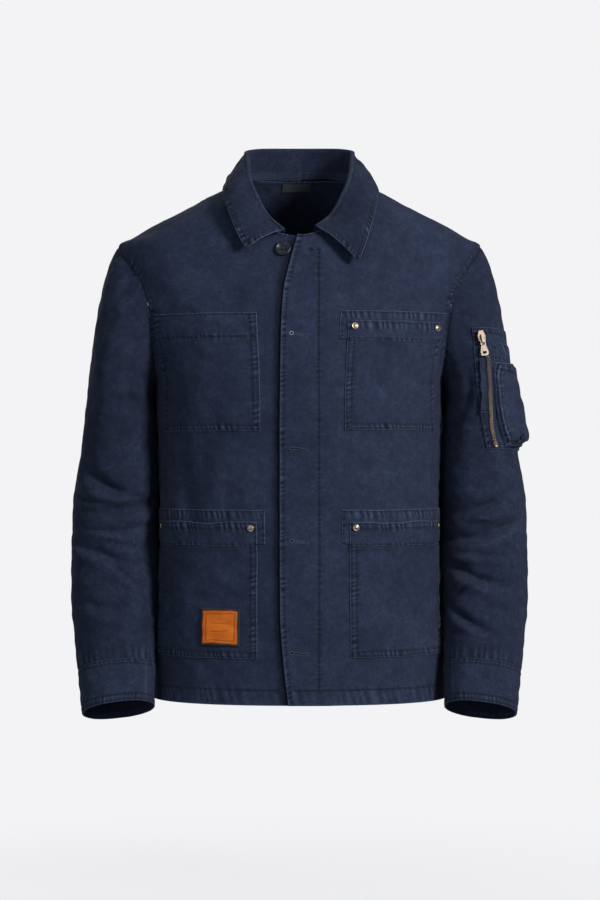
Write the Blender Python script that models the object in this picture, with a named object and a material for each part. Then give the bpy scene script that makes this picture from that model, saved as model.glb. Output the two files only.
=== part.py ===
"""A cotton work jacket in its worn shape, with nobody in it. Metres, +Z up, the front faces -Y.

The origin is where the wearer's shoulders and neck hold it: on the middle line, level with the top of the
shoulder seams. The wearer's left is +X. Every panel is cut flat, on a plane of "across" (along the cloth from
the middle) and "height", and then laid on the body form. What lies on a panel is cut from that panel's own
points and moved out, so its wall follows every facet below it.
"""

import math
from collections import namedtuple

import bmesh
import bpy
from mathutils import Matrix, Vector
from mathutils.bvhtree import BVHTree
from mathutils.geometry import barycentric_transform, delaunay_2d_cdt

# Cloth and clearances
CLOTH = 0.0020  # body cloth, with its turned seams
PATCH = 0.0012  # pocket and backing cloth
SEAM_GAP = 0.0003
LAP_LIFT = 0.0032  # the left front lies this far above the right one
ROUNDNESS = 2.3  # 2 is an ellipse, more is boxier

# Heights of the body's main lines
HEM = -0.676
ARMPIT = -0.272
SHOULDER_TIP = -0.0845
NECK_FRONT = -0.078
NECK_BACK = 0.0085
NECK_HALF_WIDTH = 0.0765
COLLAR_END = 0.0195  # from the middle line to where the collar starts, at the front

# The armhole, seen from the side: an oval
ARMHOLE_MIDDLE = (ARMPIT + SHOULDER_TIP) / 2
ARMHOLE_HALF_HEIGHT = (SHOULDER_TIP - ARMPIT) / 2
ARMHOLE_HALF_DEPTH = 0.072

# Counts along the seams. Pieces share them, so that their edges meet point to point.
HEM_POINTS = 12
SIDE_POINTS = 14
ARMHOLE_POINTS = 10  # on a front, and again on the back
LAP_POINTS = 2  # of the neckline, from a front's edge to the collar's end
NECK_FRONT_POINTS = 8
NECK_BACK_POINTS = 6
SHOULDER_POINTS = 6
CAP_ROWS = 8
ARM_ROWS = 15
CUFF_ROWS = 3

Level = namedtuple("Level", "height half_width front back")
BODY_LEVELS = (
    Level(-0.676, 0.1915, 0.130, 0.128),
    Level(-0.583, 0.1880, 0.129, 0.124),
    Level(-0.537, 0.1850, 0.128, 0.122),
    Level(-0.446, 0.1825, 0.128, 0.120),
    Level(-0.350, 0.1835, 0.131, 0.125),
    Level(-0.275, 0.1870, 0.134, 0.132),
    Level(-0.200, 0.2130, 0.129, 0.136),
    Level(-0.145, 0.2300, 0.119, 0.130),
    Level(-0.103, 0.2375, 0.107, 0.120),
    Level(-0.0845, 0.2350, 0.101, 0.114),
    Level(-0.076, 0.2190, 0.097, 0.110),
    Level(-0.040, 0.1515, 0.079, 0.093),
    Level(0.000, 0.0765, 0.052, 0.067),
    Level(0.012, 0.0540, 0.044, 0.058),
)

Edge = namedtuple("Edge", "height out")
LEFT_FRONT_EDGE = (  # the edge that laps over, measured from the middle line towards the wearer's left
    Edge(-0.676, -0.0140),
    Edge(-0.620, -0.0205),
    Edge(-0.560, -0.0245),
    Edge(-0.350, -0.0250),
    Edge(-0.200, -0.0235),
    Edge(-0.150, -0.0205),
    Edge(-0.110, -0.0115),
    Edge(-0.076, -0.0020),
)
RIGHT_FRONT_EDGE = (Edge(-0.676, -0.0220), Edge(-0.076, -0.0220))

Ring = namedtuple("Ring", "run x y z half_width half_depth pitch roll")
SLEEVE_RINGS = (  # outer size of the left sleeve; pitch raises the front, roll lowers the outer side
    Ring(0.000, 0.2370, 0.004, -0.300, 0.0460, 0.0800, 2.0, 9.0),
    Ring(0.060, 0.2395, 0.008, -0.360, 0.0500, 0.0730, 0.0, 5.0),
    Ring(0.146, 0.2445, 0.006, -0.446, 0.0560, 0.0650, 8.0, 2.0),
    Ring(0.240, 0.2450, -0.018, -0.537, 0.0540, 0.0570, 17.0, 2.0),
    Ring(0.307, 0.2430, -0.042, -0.600, 0.0500, 0.0500, 20.0, 4.0),
    Ring(0.345, 0.2392, -0.055, -0.635, 0.0478, 0.0455, 21.0, 5.5),
    Ring(0.400, 0.2345, -0.074, -0.687, 0.0450, 0.0410, 21.0, 7.0),
)
CUFF_START = 0.345
CUFF_END = 0.400


def between(table, at, column, key="height"):
    """A column of a table at a place between its rows, by a smooth curve through the rows."""
    keys = [getattr(row, key) for row in table]
    values = [getattr(row, column) for row in table]
    last = len(keys) - 1
    i = max(0, min(last - 1, sum(k <= at for k in keys) - 1))
    span = keys[i + 1] - keys[i]
    t = (at - keys[i]) / span

    def slope(j):
        if j in (0, last):
            return (values[min(j + 1, last)] - values[max(j - 1, 0)]) / (
                keys[min(j + 1, last)] - keys[max(j - 1, 0)]
            )
        before = (values[j] - values[j - 1]) / (keys[j] - keys[j - 1])
        after = (values[j + 1] - values[j]) / (keys[j + 1] - keys[j])
        return 0.0 if before * after <= 0 else 2 * before * after / (before + after)

    if not 0 <= t <= 1:
        edge = 0 if t < 0 else 1
        return values[i + edge] + (t - edge) * span * slope(i + edge)
    t2, t3 = t * t, t * t * t
    return (
        (2 * t3 - 3 * t2 + 1) * values[i]
        + (t3 - 2 * t2 + t) * span * slope(i)
        + (3 * t2 - 2 * t3) * values[i + 1]
        + (t3 - t2) * span * slope(i + 1)
    )


def ease(start, end, at):
    """0 before start, 1 after end, smooth between."""
    t = max(0.0, min(1.0, (at - start) / (end - start)))
    return t * t * (3 - 2 * t)


# ---------------------------------------------------------------- the body form

Crease = namedtuple("Crease", "across height length width depth lean")
BODY_CREASES = (  # soft folds: where, how long and wide, how deep, and their lean from upright
    Crease(0.150, -0.400, 0.080, 0.016, -0.0030, 8),
    Crease(0.105, -0.410, 0.070, 0.014, 0.0022, -12),
    Crease(0.085, -0.130, 0.045, 0.016, -0.0022, 35),
    Crease(-0.145, -0.400, 0.080, 0.015, -0.0030, -10),
    Crease(-0.100, -0.395, 0.070, 0.014, 0.0022, 14),
    Crease(-0.085, -0.135, 0.045, 0.016, -0.0022, -35),
    Crease(0.345, -0.400, 0.070, 0.022, -0.0035, 6),
    Crease(-0.350, -0.410, 0.075, 0.022, -0.0035, -8),
    Crease(0.450, -0.300, 0.090, 0.020, -0.0030, 15),
    Crease(-0.455, -0.290, 0.085, 0.020, -0.0030, -15),
)


def creases(table, across, height):
    """How far the folds of a table move the cloth out at a place on it."""
    out = 0.0
    for c in table:
        lean = math.radians(c.lean)
        x, z = across - c.across, height - c.height
        along = x * math.sin(lean) + z * math.cos(lean)
        aside = x * math.cos(lean) - z * math.sin(lean)
        out += c.depth * math.exp(-((along / c.length) ** 2) - (aside / c.width) ** 2)
    return out


def girth(height):
    """How much cloth goes with one radian round the body."""
    a = between(BODY_LEVELS, height, "half_width")
    b = between(BODY_LEVELS, height, "front")
    return 0.54 * (a + b)


def form(turn, height):
    """A point of the body form. turn is in radians: 0 centre front, pi/2 the left side, pi centre back."""
    s, c = math.sin(turn), math.cos(turn)
    reach = (abs(s) ** ROUNDNESS + abs(c) ** ROUNDNESS) ** (-1 / ROUNDNESS)
    depth = between(BODY_LEVELS, height, "front" if c > 0 else "back")
    return Vector(
        (between(BODY_LEVELS, height, "half_width") * reach * s, -depth * reach * c, height)
    )


def on_form(across, height, lift=None):
    """The cloth's inner face at a flat place, with its folds and its lift."""
    turn = across / girth(height)
    step = 1e-4
    point = form(turn, height)
    out = (form(turn + step, height) - form(turn - step, height)).cross(
        form(turn, height + step) - form(turn, height - step)
    )
    out.normalize()
    if turn > math.pi:
        across -= 2 * math.pi * girth(height)
    away = creases(BODY_CREASES, across, height) * ease(0.0, 0.05, height - HEM)
    if lift:
        away += lift(point.x)
    return point + out * away


def turn_where(test, low, high):
    """The turn between low and high at which a rising test passes zero."""
    for _ in range(40):
        middle = (low + high) / 2
        if test(middle) < 0:
            low = middle
        else:
            high = middle
    return (low + high) / 2


def across_at(x, height):
    """The flat place on the front that lies x to the left of the middle plane."""
    turn = turn_where(lambda t: form(t, height).x - x, -math.pi / 2, math.pi / 2)
    return turn * girth(height)


def armhole(angle, back=False):
    """A flat place on the armhole: angle 0 is the armpit and pi the shoulder tip."""
    depth = ARMHOLE_HALF_DEPTH * math.sin(angle)
    height = ARMHOLE_MIDDLE - ARMHOLE_HALF_HEIGHT * math.cos(angle)
    if back:
        turn = turn_where(lambda t: form(t, height).y - depth, math.pi / 2, math.pi)
    else:
        turn = turn_where(lambda t: form(t, height).y + depth, 0, math.pi / 2)
    return turn * girth(height), height


def neckline(angle, back=False):
    """A flat place on the neckline: angle 0 is the middle and pi/2 the shoulder seam."""
    height = (NECK_BACK if back else NECK_FRONT) * math.cos(angle)
    x = NECK_HALF_WIDTH * math.sin(angle)
    if back:
        turn = turn_where(lambda t: x - form(t, height).x, math.pi / 2, math.pi)
        return turn * girth(height), height
    return across_at(x, height), height


# ---------------------------------------------------------------- flat pieces and their walls


def spread(count):
    return [i / count for i in range(count + 1)]


def steps_between(low, high, count):
    return [low + (high - low) * share for share in spread(count)]


class Cut:
    """A flat piece: a mesh whose points lie on the flat, with where each goes and which way is out."""

    def __init__(self):
        self.mesh = bmesh.new()
        self.place = self.mesh.verts.layers.float_vector.new("place")
        self.out = self.mesh.verts.layers.float_vector.new("out")

    def point(self, across, height, place, out):
        vert = self.mesh.verts.new((across, height, 0))
        vert[self.place] = place
        vert[self.out] = out
        return vert

    def copy(self):
        made = Cut.__new__(Cut)
        made.mesh = self.mesh.copy()
        made.place = made.mesh.verts.layers.float_vector["place"]
        made.out = made.mesh.verts.layers.float_vector["out"]
        return made

    def trimmed(self, corners):
        """The part inside a convex outline, whose corners run anticlockwise on the flat."""
        made = self.copy()
        for start, end in zip(corners, corners[1:] + corners[:1]):
            away = Vector((end[1] - start[1], start[0] - end[0], 0)).normalized()
            bmesh.ops.bisect_plane(
                made.mesh,
                geom=made.mesh.verts[:] + made.mesh.edges[:] + made.mesh.faces[:],
                dist=1e-6,
                plane_co=(start[0], start[1], 0),
                plane_no=away,
                clear_outer=True,
            )
        bmesh.ops.triangulate(made.mesh, faces=made.mesh.faces[:])
        return made

    def scored(self, start, end):
        """The same piece with points added along a line, so that it can fold there."""
        away = Vector((end[1] - start[1], start[0] - end[0], 0)).normalized()
        bmesh.ops.bisect_plane(
            self.mesh,
            geom=self.mesh.verts[:] + self.mesh.edges[:] + self.mesh.faces[:],
            dist=1e-6,
            plane_co=(start[0], start[1], 0),
            plane_no=away,
        )
        bmesh.ops.triangulate(self.mesh, faces=self.mesh.faces[:])
        return self


def cut_grid(flat, places, outs):
    """A Cut from a grid of flat places, each with its place on the body and its way out."""
    made = Cut()
    points = [
        [made.point(*where, place, out) for where, place, out in zip(*column)]
        for column in zip(flat, places, outs)
    ]
    for i in range(len(points) - 1):
        for j in range(len(points[i]) - 1):
            a, b, c, d = points[i][j], points[i + 1][j], points[i + 1][j + 1], points[i][j + 1]
            halves = ((a, b, c), (a, c, d)) if (i + j) % 2 else ((a, b, d), (b, c, d))
            for half in halves:
                made.mesh.faces.new(half)
    return made


def is_inside(at, outline, margin):
    """Whether a flat place is inside an outline, and further than a margin from its edge."""
    x, z = at
    inside = False
    for (ax, az), (bx, bz) in zip(outline, outline[1:] + outline[:1]):
        if (az > z) != (bz > z) and x < ax + (z - az) * (bx - ax) / (bz - az):
            inside = not inside
        length = (bx - ax) ** 2 + (bz - az) ** 2
        share = max(0.0, min(1.0, ((x - ax) * (bx - ax) + (z - az) * (bz - az)) / length))
        if math.hypot(ax + share * (bx - ax) - x, az + share * (bz - az) - z) < margin:
            return False
    return inside


Spacing = namedtuple("Spacing", "height rise across")
PANEL_SPACING = (  # distances between a panel's inner points; the shoulders need them closer
    Spacing(-0.676, 0.0320, 0.0330),
    Spacing(-0.300, 0.0300, 0.0310),
    Spacing(-0.200, 0.0220, 0.0270),
    Spacing(-0.100, 0.0150, 0.0240),
    Spacing(0.000, 0.0100, 0.0190),
)


def cut_outline(outline, place, out):
    """A Cut that fills an outline with triangles of about the same size, symmetric if the outline is."""
    inner = []
    lowest, highest = min(h for _, h in outline), max(h for _, h in outline)
    middle = (min(a for a, _ in outline) + max(a for a, _ in outline)) / 2
    height, row = lowest + between(PANEL_SPACING, lowest, "rise"), 0
    while height < highest:
        step = between(PANEL_SPACING, height, "across")
        rise = between(PANEL_SPACING, height, "rise")
        offset = step / 2 if row % 2 else 0.0
        for k in range(-80, 81):
            at = (middle + offset + k * step, height)
            if is_inside(at, outline, 0.6 * rise):
                inner.append(at)
        height += rise
        row += 1
    points, _, faces, *_ = delaunay_2d_cdt(
        [Vector(at) for at in outline + inner], [], [list(range(len(outline)))], 1, 1e-7
    )
    made = Cut()
    verts = [made.point(x, z, place(x, z), out(x, z)) for x, z in points]
    for face in faces:
        made.mesh.faces.new([verts[i] for i in face])
    return made


def outward(places):
    """The way out at each point of a grid of places, from its neighbours. Columns go to the wearer's left."""
    outs = []
    for i, column in enumerate(places):
        before, after = places[max(i - 1, 0)], places[min(i + 1, len(places) - 1)]
        line = []
        for j in range(len(column)):
            below, above = max(j - 1, 0), min(j + 1, len(column) - 1)
            line.append((after[j] - before[j]).cross(column[above] - column[below]).normalized())
        outs.append(line)
    return outs


def jacket_collection():
    if "work_jacket" not in bpy.data.collections:
        made = bpy.data.collections.new("work_jacket")
        bpy.context.scene.collection.children.link(made)
    return bpy.data.collections["work_jacket"]


def finish(name, mesh, material, smooth=True):
    """A closed bmesh as a named object in the jacket's collection."""
    bmesh.ops.recalc_face_normals(mesh, faces=mesh.faces[:])
    data = bpy.data.meshes.new(name)
    mesh.to_mesh(data)
    mesh.free()
    if smooth:
        data.shade_smooth()
        data.set_sharp_from_angle(angle=math.radians(40))
    data.materials.append(material)
    made = bpy.data.objects.new(name, data)
    jacket_collection().objects.link(made)
    return made


def free_edges(cut):
    """A Cut's edges with one face. A tube's two long edges lie on each other, so they aren't free."""
    edges = [e for e in cut.mesh.edges if len(e.link_faces) == 1]
    middles = [tuple(round(c, 6) for c in (e.verts[0][cut.place] + e.verts[1][cut.place])) for e in edges]
    return [edge for edge, middle in zip(edges, middles) if middles.count(middle) == 1]


def wall(name, cut, material, low, high):
    """A closed wall on a Cut, between two heights above the body, each a number or a function of the flat."""
    made = bmesh.new()
    layers = []
    for level in (low, high):
        at = level if callable(level) else (lambda across, height, value=level: value)
        layers.append(
            {
                v: made.verts.new(v[cut.place] + v[cut.out] * at(v.co.x, v.co.y))
                for v in cut.mesh.verts
            }
        )
    inner, outer = layers
    for face in cut.mesh.faces:
        made.faces.new([outer[v] for v in face.verts])
        made.faces.new([inner[v] for v in reversed(face.verts)])
    for edge in free_edges(cut):
        a, b = edge.link_loops[0].vert, edge.link_loops[0].link_loop_next.vert
        made.faces.new((inner[a], inner[b], outer[b]))
        made.faces.new((inner[a], outer[b], outer[a]))
    bmesh.ops.remove_doubles(made, verts=made.verts[:], dist=1e-6)
    return finish(name, made, material)


def cloth(name, colour, roughness=0.85, metallic=0.0):
    """A Principled material."""
    made = bpy.data.materials.new(name)
    made.use_nodes = True
    shader = made.node_tree.nodes["Principled BSDF"]
    shader.inputs["Base Color"].default_value = (*colour, 1)
    shader.inputs["Roughness"].default_value = roughness
    shader.inputs["Metallic"].default_value = metallic
    return made


# ---------------------------------------------------------------- body panels


def front_lift(x):
    """The left front rises over the right one near the middle."""
    return LAP_LIFT * (1 - ease(0.030, 0.058, x))


def side_edge(back=False):
    """The outer edge of a panel: up the side seam, then round the armhole to the shoulder tip."""
    half_gap = SEAM_GAP / 2 * (1 if back else -1)
    edge = []
    for height in steps_between(HEM, ARMPIT, SIDE_POINTS):
        edge.append((math.pi / 2 * girth(height) + half_gap, height))
    edge += [armhole(angle, back) for angle in steps_between(0, math.pi, ARMHOLE_POINTS)[1:]]
    edge[-1] = (edge[-1][0] + half_gap, edge[-1][1])
    return edge


def top_edge(lap_x=None):
    """The top of a panel, from the shoulder tip inward: the shoulder seam, then the neckline to its middle,
    or on to the front's own edge at lap_x."""
    back = lap_x is None
    half_gap = SEAM_GAP / 2 * (1 if back else -1)
    edge = []
    for height in steps_between(SHOULDER_TIP, 0, SHOULDER_POINTS)[1:]:
        edge.append((math.pi / 2 * girth(height) + half_gap, height))
    if back:
        angles = steps_between(math.pi / 2, 0, NECK_BACK_POINTS)[1:]
    else:
        collar_end = math.asin(COLLAR_END / NECK_HALF_WIDTH)
        angles = steps_between(math.pi / 2, collar_end, NECK_FRONT_POINTS)[1:]
        angles += steps_between(collar_end, math.asin(lap_x / NECK_HALF_WIDTH), LAP_POINTS)[1:]
    return edge + [neckline(angle, back) for angle in angles]


def way_out(across, height, lift=None):
    """The cloth's outward direction at a flat place."""
    step = 0.0015
    return (
        (on_form(across + step, height, lift) - on_form(across - step, height, lift))
        .cross(on_form(across, height + step, lift) - on_form(across, height - step, lift))
        .normalized()
    )


def front_cut(edge_table, side, lift=None):
    """The left front (side 1) or the right one (side -1)."""
    top = between(edge_table, NECK_FRONT, "out")
    outline = side_edge() + top_edge(top)
    for height in steps_between(outline[-1][1], HEM, SIDE_POINTS + ARMHOLE_POINTS)[1:]:
        outline.append((across_at(between(edge_table, height, "out"), height), height))
    start, end = outline[-1][0], outline[0][0]
    outline += [(across, HEM) for across in steps_between(start, end, HEM_POINTS)[1:-1]]
    outline = [(side * a, h) for a, h in outline][::side]
    return cut_outline(
        outline, lambda a, h: on_form(a, h, lift), lambda a, h: way_out(a, h, lift)
    )


def back_place(across, height):
    """The back's flat is centred on the middle of the back, and its left side has negative places."""
    return on_form(math.pi * girth(height) + across, height)


def back_out(across, height):
    return way_out(math.pi * girth(height) + across, height)


def back_cut():
    """The whole back. Its flat places are measured from the middle of the back, to the right side positive."""
    left = [(a - math.pi * girth(h), h) for a, h in side_edge(back=True) + top_edge()]
    right = [(-a, h) for a, h in left[-2::-1]]
    hem = steps_between(right[-1][0], left[0][0], 2 * HEM_POINTS)[1:-1]
    outline = left + right + [(a, HEM) for a in hem]
    return cut_outline(outline[::-1], back_place, back_out)


def mirrored(cut):
    """The same Cut for the wearer's right side."""
    made = cut.copy()
    for vert in made.mesh.verts:
        vert.co.x = -vert.co.x
        for layer in (made.place, made.out):
            vert[layer] = Vector((-vert[layer].x, vert[layer].y, vert[layer].z))
    bmesh.ops.reverse_faces(made.mesh, faces=made.mesh.faces[:])
    return made


# ---------------------------------------------------------------- sleeves

ARM_CREASES_LEFT = (  # across is round the sleeve from the armpit, by way of the front; height is minus the run
    Crease(0.110, -0.130, 0.045, 0.013, -0.0060, 68),
    Crease(0.095, -0.176, 0.050, 0.012, -0.0055, 80),
    Crease(0.090, -0.236, 0.050, 0.012, -0.0060, 108),
    Crease(0.075, -0.296, 0.045, 0.011, -0.0050, 118),
    Crease(0.320, -0.150, 0.050, 0.015, -0.0045, 84),
    Crease(0.330, -0.215, 0.045, 0.013, -0.0040, 98),
)
ARM_CREASES_RIGHT = (
    Crease(0.120, -0.100, 0.048, 0.013, -0.0055, 62),
    Crease(0.085, -0.136, 0.060, 0.012, -0.0050, 98),
    Crease(0.110, -0.205, 0.050, 0.013, -0.0045, 70),
    Crease(0.120, -0.275, 0.045, 0.013, -0.0040, 78),
    Crease(0.325, -0.140, 0.050, 0.015, -0.0045, 94),
    Crease(0.335, -0.205, 0.045, 0.013, -0.0040, 82),
)
ARM_GIRTH = 0.42  # round the sleeve, on the flat


def ring_point(angle, run, inset=0.0):
    """A point of a sleeve ring: angle 0 is next to the body, pi/2 the front and pi the outer side."""
    row = Ring(run, *(between(SLEEVE_RINGS, run, column, "run") for column in Ring._fields[1:]))
    s, c = math.sin(angle), math.cos(angle)
    reach = (abs(s) ** ROUNDNESS + abs(c) ** ROUNDNESS) ** (-1 / ROUNDNESS)
    pitch, roll = math.radians(row.pitch), math.radians(row.roll)
    aside = Vector((math.cos(roll), 0, -math.sin(roll)))
    backward = Vector((0, math.cos(pitch), -math.sin(pitch)))
    return (
        Vector((row.x, row.y, row.z))
        - aside * (row.half_width - inset) * reach * c
        - backward * (row.half_depth - inset) * reach * s
    )


def hermite(a, b, leave, arrive, t):
    t2, t3 = t * t, t * t * t
    return (
        a * (2 * t3 - 3 * t2 + 1)
        + leave * (t3 - 2 * t2 + t)
        + b * (3 * t2 - 2 * t3)
        + arrive * (t3 - t2)
    )


Leaving = namedtuple("Leaving", "angle x y z strength")
CAP_LEAVING = (  # which way the sleeve leaves the armhole, from the armpit to the shoulder tip
    Leaving(0.0, 0.30, 0.00, -0.95, 0.8),
    Leaving(0.6, 0.80, -0.35, -0.49, 0.9),
    Leaving(1.5, 0.86, -0.28, -0.43, 0.8),
    Leaving(2.3, 0.80, -0.22, -0.55, 0.6),
    Leaving(math.pi, 0.60, 0.00, -0.80, 0.5),
)
JOIN_GAP = 0.0005  # between two walls that meet at an angle


def join_start(edge, out, beyond, leaving):
    """Where the middle of a wall starts, so that it clears the wall whose edge it is sewn to."""
    turned, back = leaving.dot(out), -leaving.dot(beyond)
    aside = math.sqrt(max(0.0, 1 - back * back))
    raised = 0.0
    if back > 0.05:
        raised = CLOTH / 2 * (1 + back) + JOIN_GAP * (1 - aside / back)
    past = JOIN_GAP + CLOTH / 2 * aside if back < 0.9 else JOIN_GAP * (1 - back) * 10
    return edge + out * math.copysign(max(0.0, raised), turned) + beyond * past


def sleeve_grid(cap_rows, arm_rows, arm_end):
    """(flat, places) of the left sleeve's middle surface, from the armhole to arm_end along the arm."""
    angles = steps_between(0, math.pi, ARMHOLE_POINTS)
    edge = [(angle, armhole(angle), 1) for angle in angles]
    edge += [(2 * math.pi - angle, armhole(angle, back=True), -1) for angle in angles[-2::-1]]
    starts = [on_form(*at) for _, at, _ in edge]
    starts[-1] = starts[0]
    flat, places = [], []
    for i, (angle, at, facing) in enumerate(edge):
        from_armpit = angle if facing > 0 else 2 * math.pi - angle
        leave = Vector(
            (
                between(CAP_LEAVING, from_armpit, "x", "angle"),
                between(CAP_LEAVING, from_armpit, "y", "angle") * facing,
                between(CAP_LEAVING, from_armpit, "z", "angle"),
            )
        ).normalized()
        out = way_out(*at)
        if i in (0, len(edge) - 1):
            out = Vector((1, 0, 0.1)).normalized()
        before, after = starts[i - 1 if i else -2], starts[(i + 1) % (len(edge) - 1)]
        beyond = (after - before).cross(out).normalized()
        end = ring_point(angle, 0.0, CLOTH / 2)
        down = (ring_point(angle, 0.02, CLOTH / 2) - end).normalized()
        strength = between(CAP_LEAVING, from_armpit, "strength", "angle")
        start = starts[i] + out * CLOTH / 2
        for _ in range(3):
            far = (end - start).length
            first = hermite(start, end, leave * far * strength, down * far, 1 / CAP_ROWS)
            start = join_start(starts[i] + out * CLOTH / 2, out, beyond, (first - start).normalized())
        far = (end - start).length
        flat_line, line = [], []
        for share in spread(cap_rows):
            line.append(hermite(start, end, leave * far * strength, down * far, share))
            flat_line.append((angle / (2 * math.pi) * ARM_GIRTH, (1 - share) * far))
        for run in steps_between(0, arm_end, arm_rows)[1:]:
            line.append(ring_point(angle, run, CLOTH / 2))
            flat_line.append((angle / (2 * math.pi) * ARM_GIRTH, -run))
        flat.append(flat_line)
        places.append(line)
    return flat, places


def tube_outward(places):
    """The way out at each point of a tube's grid, whose first and last columns are the same."""
    wrapped = [places[-2]] + places + [places[1]]
    return [[-o for o in line] for line in outward(wrapped)[1:-1]]


def arm_fade(across, height):
    """Folds die out at the sleeve's inner line, and above the cuff."""
    inner = ease(0.0, 0.05, across) * ease(0.0, 0.05, ARM_GIRTH - across)
    return inner * ease(0.0, 0.05, CUFF_START + height)


def sleeve_cut(flat, places, fold_table=()):
    """A Cut of a sleeve's inner face, folds included."""
    folded = []
    for flat_line, line, out_line in zip(flat, places, tube_outward(places)):
        folded.append(
            [
                p + o * creases(fold_table, a, h) * arm_fade(a, h)
                for (a, h), p, o in zip(flat_line, line, out_line)
            ]
        )
    outs = tube_outward(folded)
    inner = [[p - o * CLOTH / 2 for p, o in zip(line, out)] for line, out in zip(folded, outs)]
    return cut_grid(flat, inner, outs)


def cuff_grid(rows):
    """(flat, places) of a cuff's middle surface. It starts a little below the sleeve's end."""
    flat, places = [], []
    for angle in steps_between(0, 2 * math.pi, 2 * ARMHOLE_POINTS):
        runs = steps_between(CUFF_START + SEAM_GAP, CUFF_END, rows)
        places.append([ring_point(angle, run, CLOTH / 2) for run in runs])
        flat.append([(angle / (2 * math.pi) * ARM_GIRTH, -run) for run in runs])
    return flat, places


# ---------------------------------------------------------------- collar

CHEST = Vector((0, 0, -0.3))  # a place inside the body

Turn = namedtuple("Turn", "share fold_x fold_y fold_z leaf_x leaf_y leaf_z")
COLLAR_LEFT = (  # from the front end (share 0) to the centre back (share 1): the fold line and the leaf's edge
    Turn(0.000, 0.0200, -0.1060, -0.0660, 0.0756, -0.1250, -0.1136),
    Turn(0.160, 0.0400, -0.0880, -0.0490, 0.0860, -0.1160, -0.0850),
    Turn(0.265, 0.0515, -0.0800, -0.0290, 0.0935, -0.1050, -0.0600),
    Turn(0.443, 0.0640, -0.0530, 0.0010, 0.1000, -0.0800, -0.0320),
    Turn(0.620, 0.0700, -0.0050, 0.0340, 0.1030, -0.0280, -0.0120),
    Turn(0.750, 0.0705, 0.0200, 0.0440, 0.0980, 0.0320, -0.0080),
    Turn(0.870, 0.0470, 0.0420, 0.0500, 0.0640, 0.0700, -0.0020),
    Turn(1.000, 0.0000, 0.0540, 0.0515, 0.0000, 0.0830, 0.0010),
    Turn(1.130, -0.0470, 0.0420, 0.0500, -0.0640, 0.0700, -0.0020),
)
COLLAR_RIGHT = (
    Turn(0.000, 0.0190, -0.1030, -0.0700, 0.0680, -0.1200, -0.0964),
    Turn(0.160, 0.0405, -0.0865, -0.0490, 0.0790, -0.1120, -0.0770),
    Turn(0.265, 0.0530, -0.0785, -0.0265, 0.0870, -0.1030, -0.0570),
    Turn(0.443, 0.0640, -0.0530, 0.0010, 0.0960, -0.0790, -0.0320),
    Turn(0.620, 0.0685, -0.0050, 0.0340, 0.1000, -0.0280, -0.0120),
    Turn(0.750, 0.0705, 0.0200, 0.0440, 0.0970, 0.0320, -0.0080),
    Turn(0.870, 0.0470, 0.0420, 0.0500, 0.0640, 0.0700, -0.0020),
    Turn(1.000, 0.0000, 0.0540, 0.0515, 0.0000, 0.0830, 0.0010),
    Turn(1.130, -0.0470, 0.0420, 0.0500, -0.0640, 0.0700, -0.0020),
)
COLLAR_SHOULDER = 0.62  # the share at which the collar passes the shoulder seam
ROLL_RADIUS = 0.0026
LEAF_BOW = 0.0045  # how far the leaf bows out between its fold and its edge
FALL_ROWS = 5
TAPE_HEIGHT = 0.011
COLLAR_CLEAR = 0.0012


def collar_shares():
    front = steps_between(0, COLLAR_SHOULDER, NECK_FRONT_POINTS)
    return front + steps_between(COLLAR_SHOULDER, 1, NECK_BACK_POINTS)[1:]


def seam_places():
    """Where the collar is sewn, from its front end round to the centre back: flat places and their sides."""
    start = math.asin(COLLAR_END / NECK_HALF_WIDTH)
    front = steps_between(start, math.pi / 2, NECK_FRONT_POINTS)
    back = steps_between(math.pi / 2, 0, NECK_BACK_POINTS)[1:]
    return [neckline(a) for a in front] + [neckline(a, back=True) for a in back]


def collar_half(table, lift):
    """Columns of the collar's middle surface, from the front end to the centre back, on the left side."""
    shares, seams = collar_shares(), seam_places()
    folds = [Vector([between(table, s, c, "share") for c in Turn._fields[1:4]]) for s in shares]
    edges = [Vector([between(table, s, c, "share") for c in Turn._fields[4:]]) for s in shares]
    on_body = [on_form(*at, lift) for at in seams]
    last = len(shares) - 1
    columns = []
    for i, at in enumerate(seams):
        tangent = (folds[min(i + 1, last)] - folds[max(i - 1, 0)]).normalized()
        along = (on_body[min(i + 1, last)] - on_body[max(i - 1, 0)]).normalized()
        if i == last:
            tangent = along = Vector((-1, 0, 0))
        aside = Vector((folds[i].x, folds[i].y + 0.005, 0))
        aside = (aside - tangent * tangent.dot(aside)).normalized()
        above = tangent.cross(aside)
        above = above if above.z > 0 else -above
        centre = folds[i] - above * ROLL_RADIUS
        roll = [
            centre + ROLL_RADIUS * (above * math.sin(a) - aside * math.cos(a))
            for a in steps_between(0, math.pi, 4)
        ]
        out = way_out(*at, lift)
        beyond = out.cross(along).normalized()
        beyond = beyond if beyond.z > 0 else -beyond
        middle = on_body[i] + out * CLOTH / 2
        seam = join_start(middle, out, beyond, (roll[0] - middle).normalized())
        column = [seam, seam.lerp(roll[0], min(0.5, TAPE_HEIGHT / (roll[0] - seam).length))]
        column += roll
        bow = (above + aside).normalized() * LEAF_BOW
        for share in spread(FALL_ROWS)[1:]:
            column.append(roll[-1].lerp(edges[i], share) + bow * 4 * share * (1 - share))
        columns.append(column)
    return columns


def outer_face(cut, high):
    """A search tree of a panel's outer face."""
    points = [v[cut.place] + v[cut.out] * high for v in cut.mesh.verts]
    cut.mesh.verts.index_update()
    return BVHTree.FromPolygons(points, [[v.index for v in f.verts] for f in cut.mesh.faces])


def lift_clear(point, panels, far):
    """The point, moved out until it is far enough from the outer faces of some panels."""
    for tree in panels:
        near, out, _, _ = tree.find_nearest(point)
        out = out if out.dot(point - CHEST) > 0 else -out
        above = (point - near).dot(out)
        aside = (point - near - out * above).length
        if above < far and aside < 0.004:
            point = point + out * (far - above)
    return point


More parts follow.
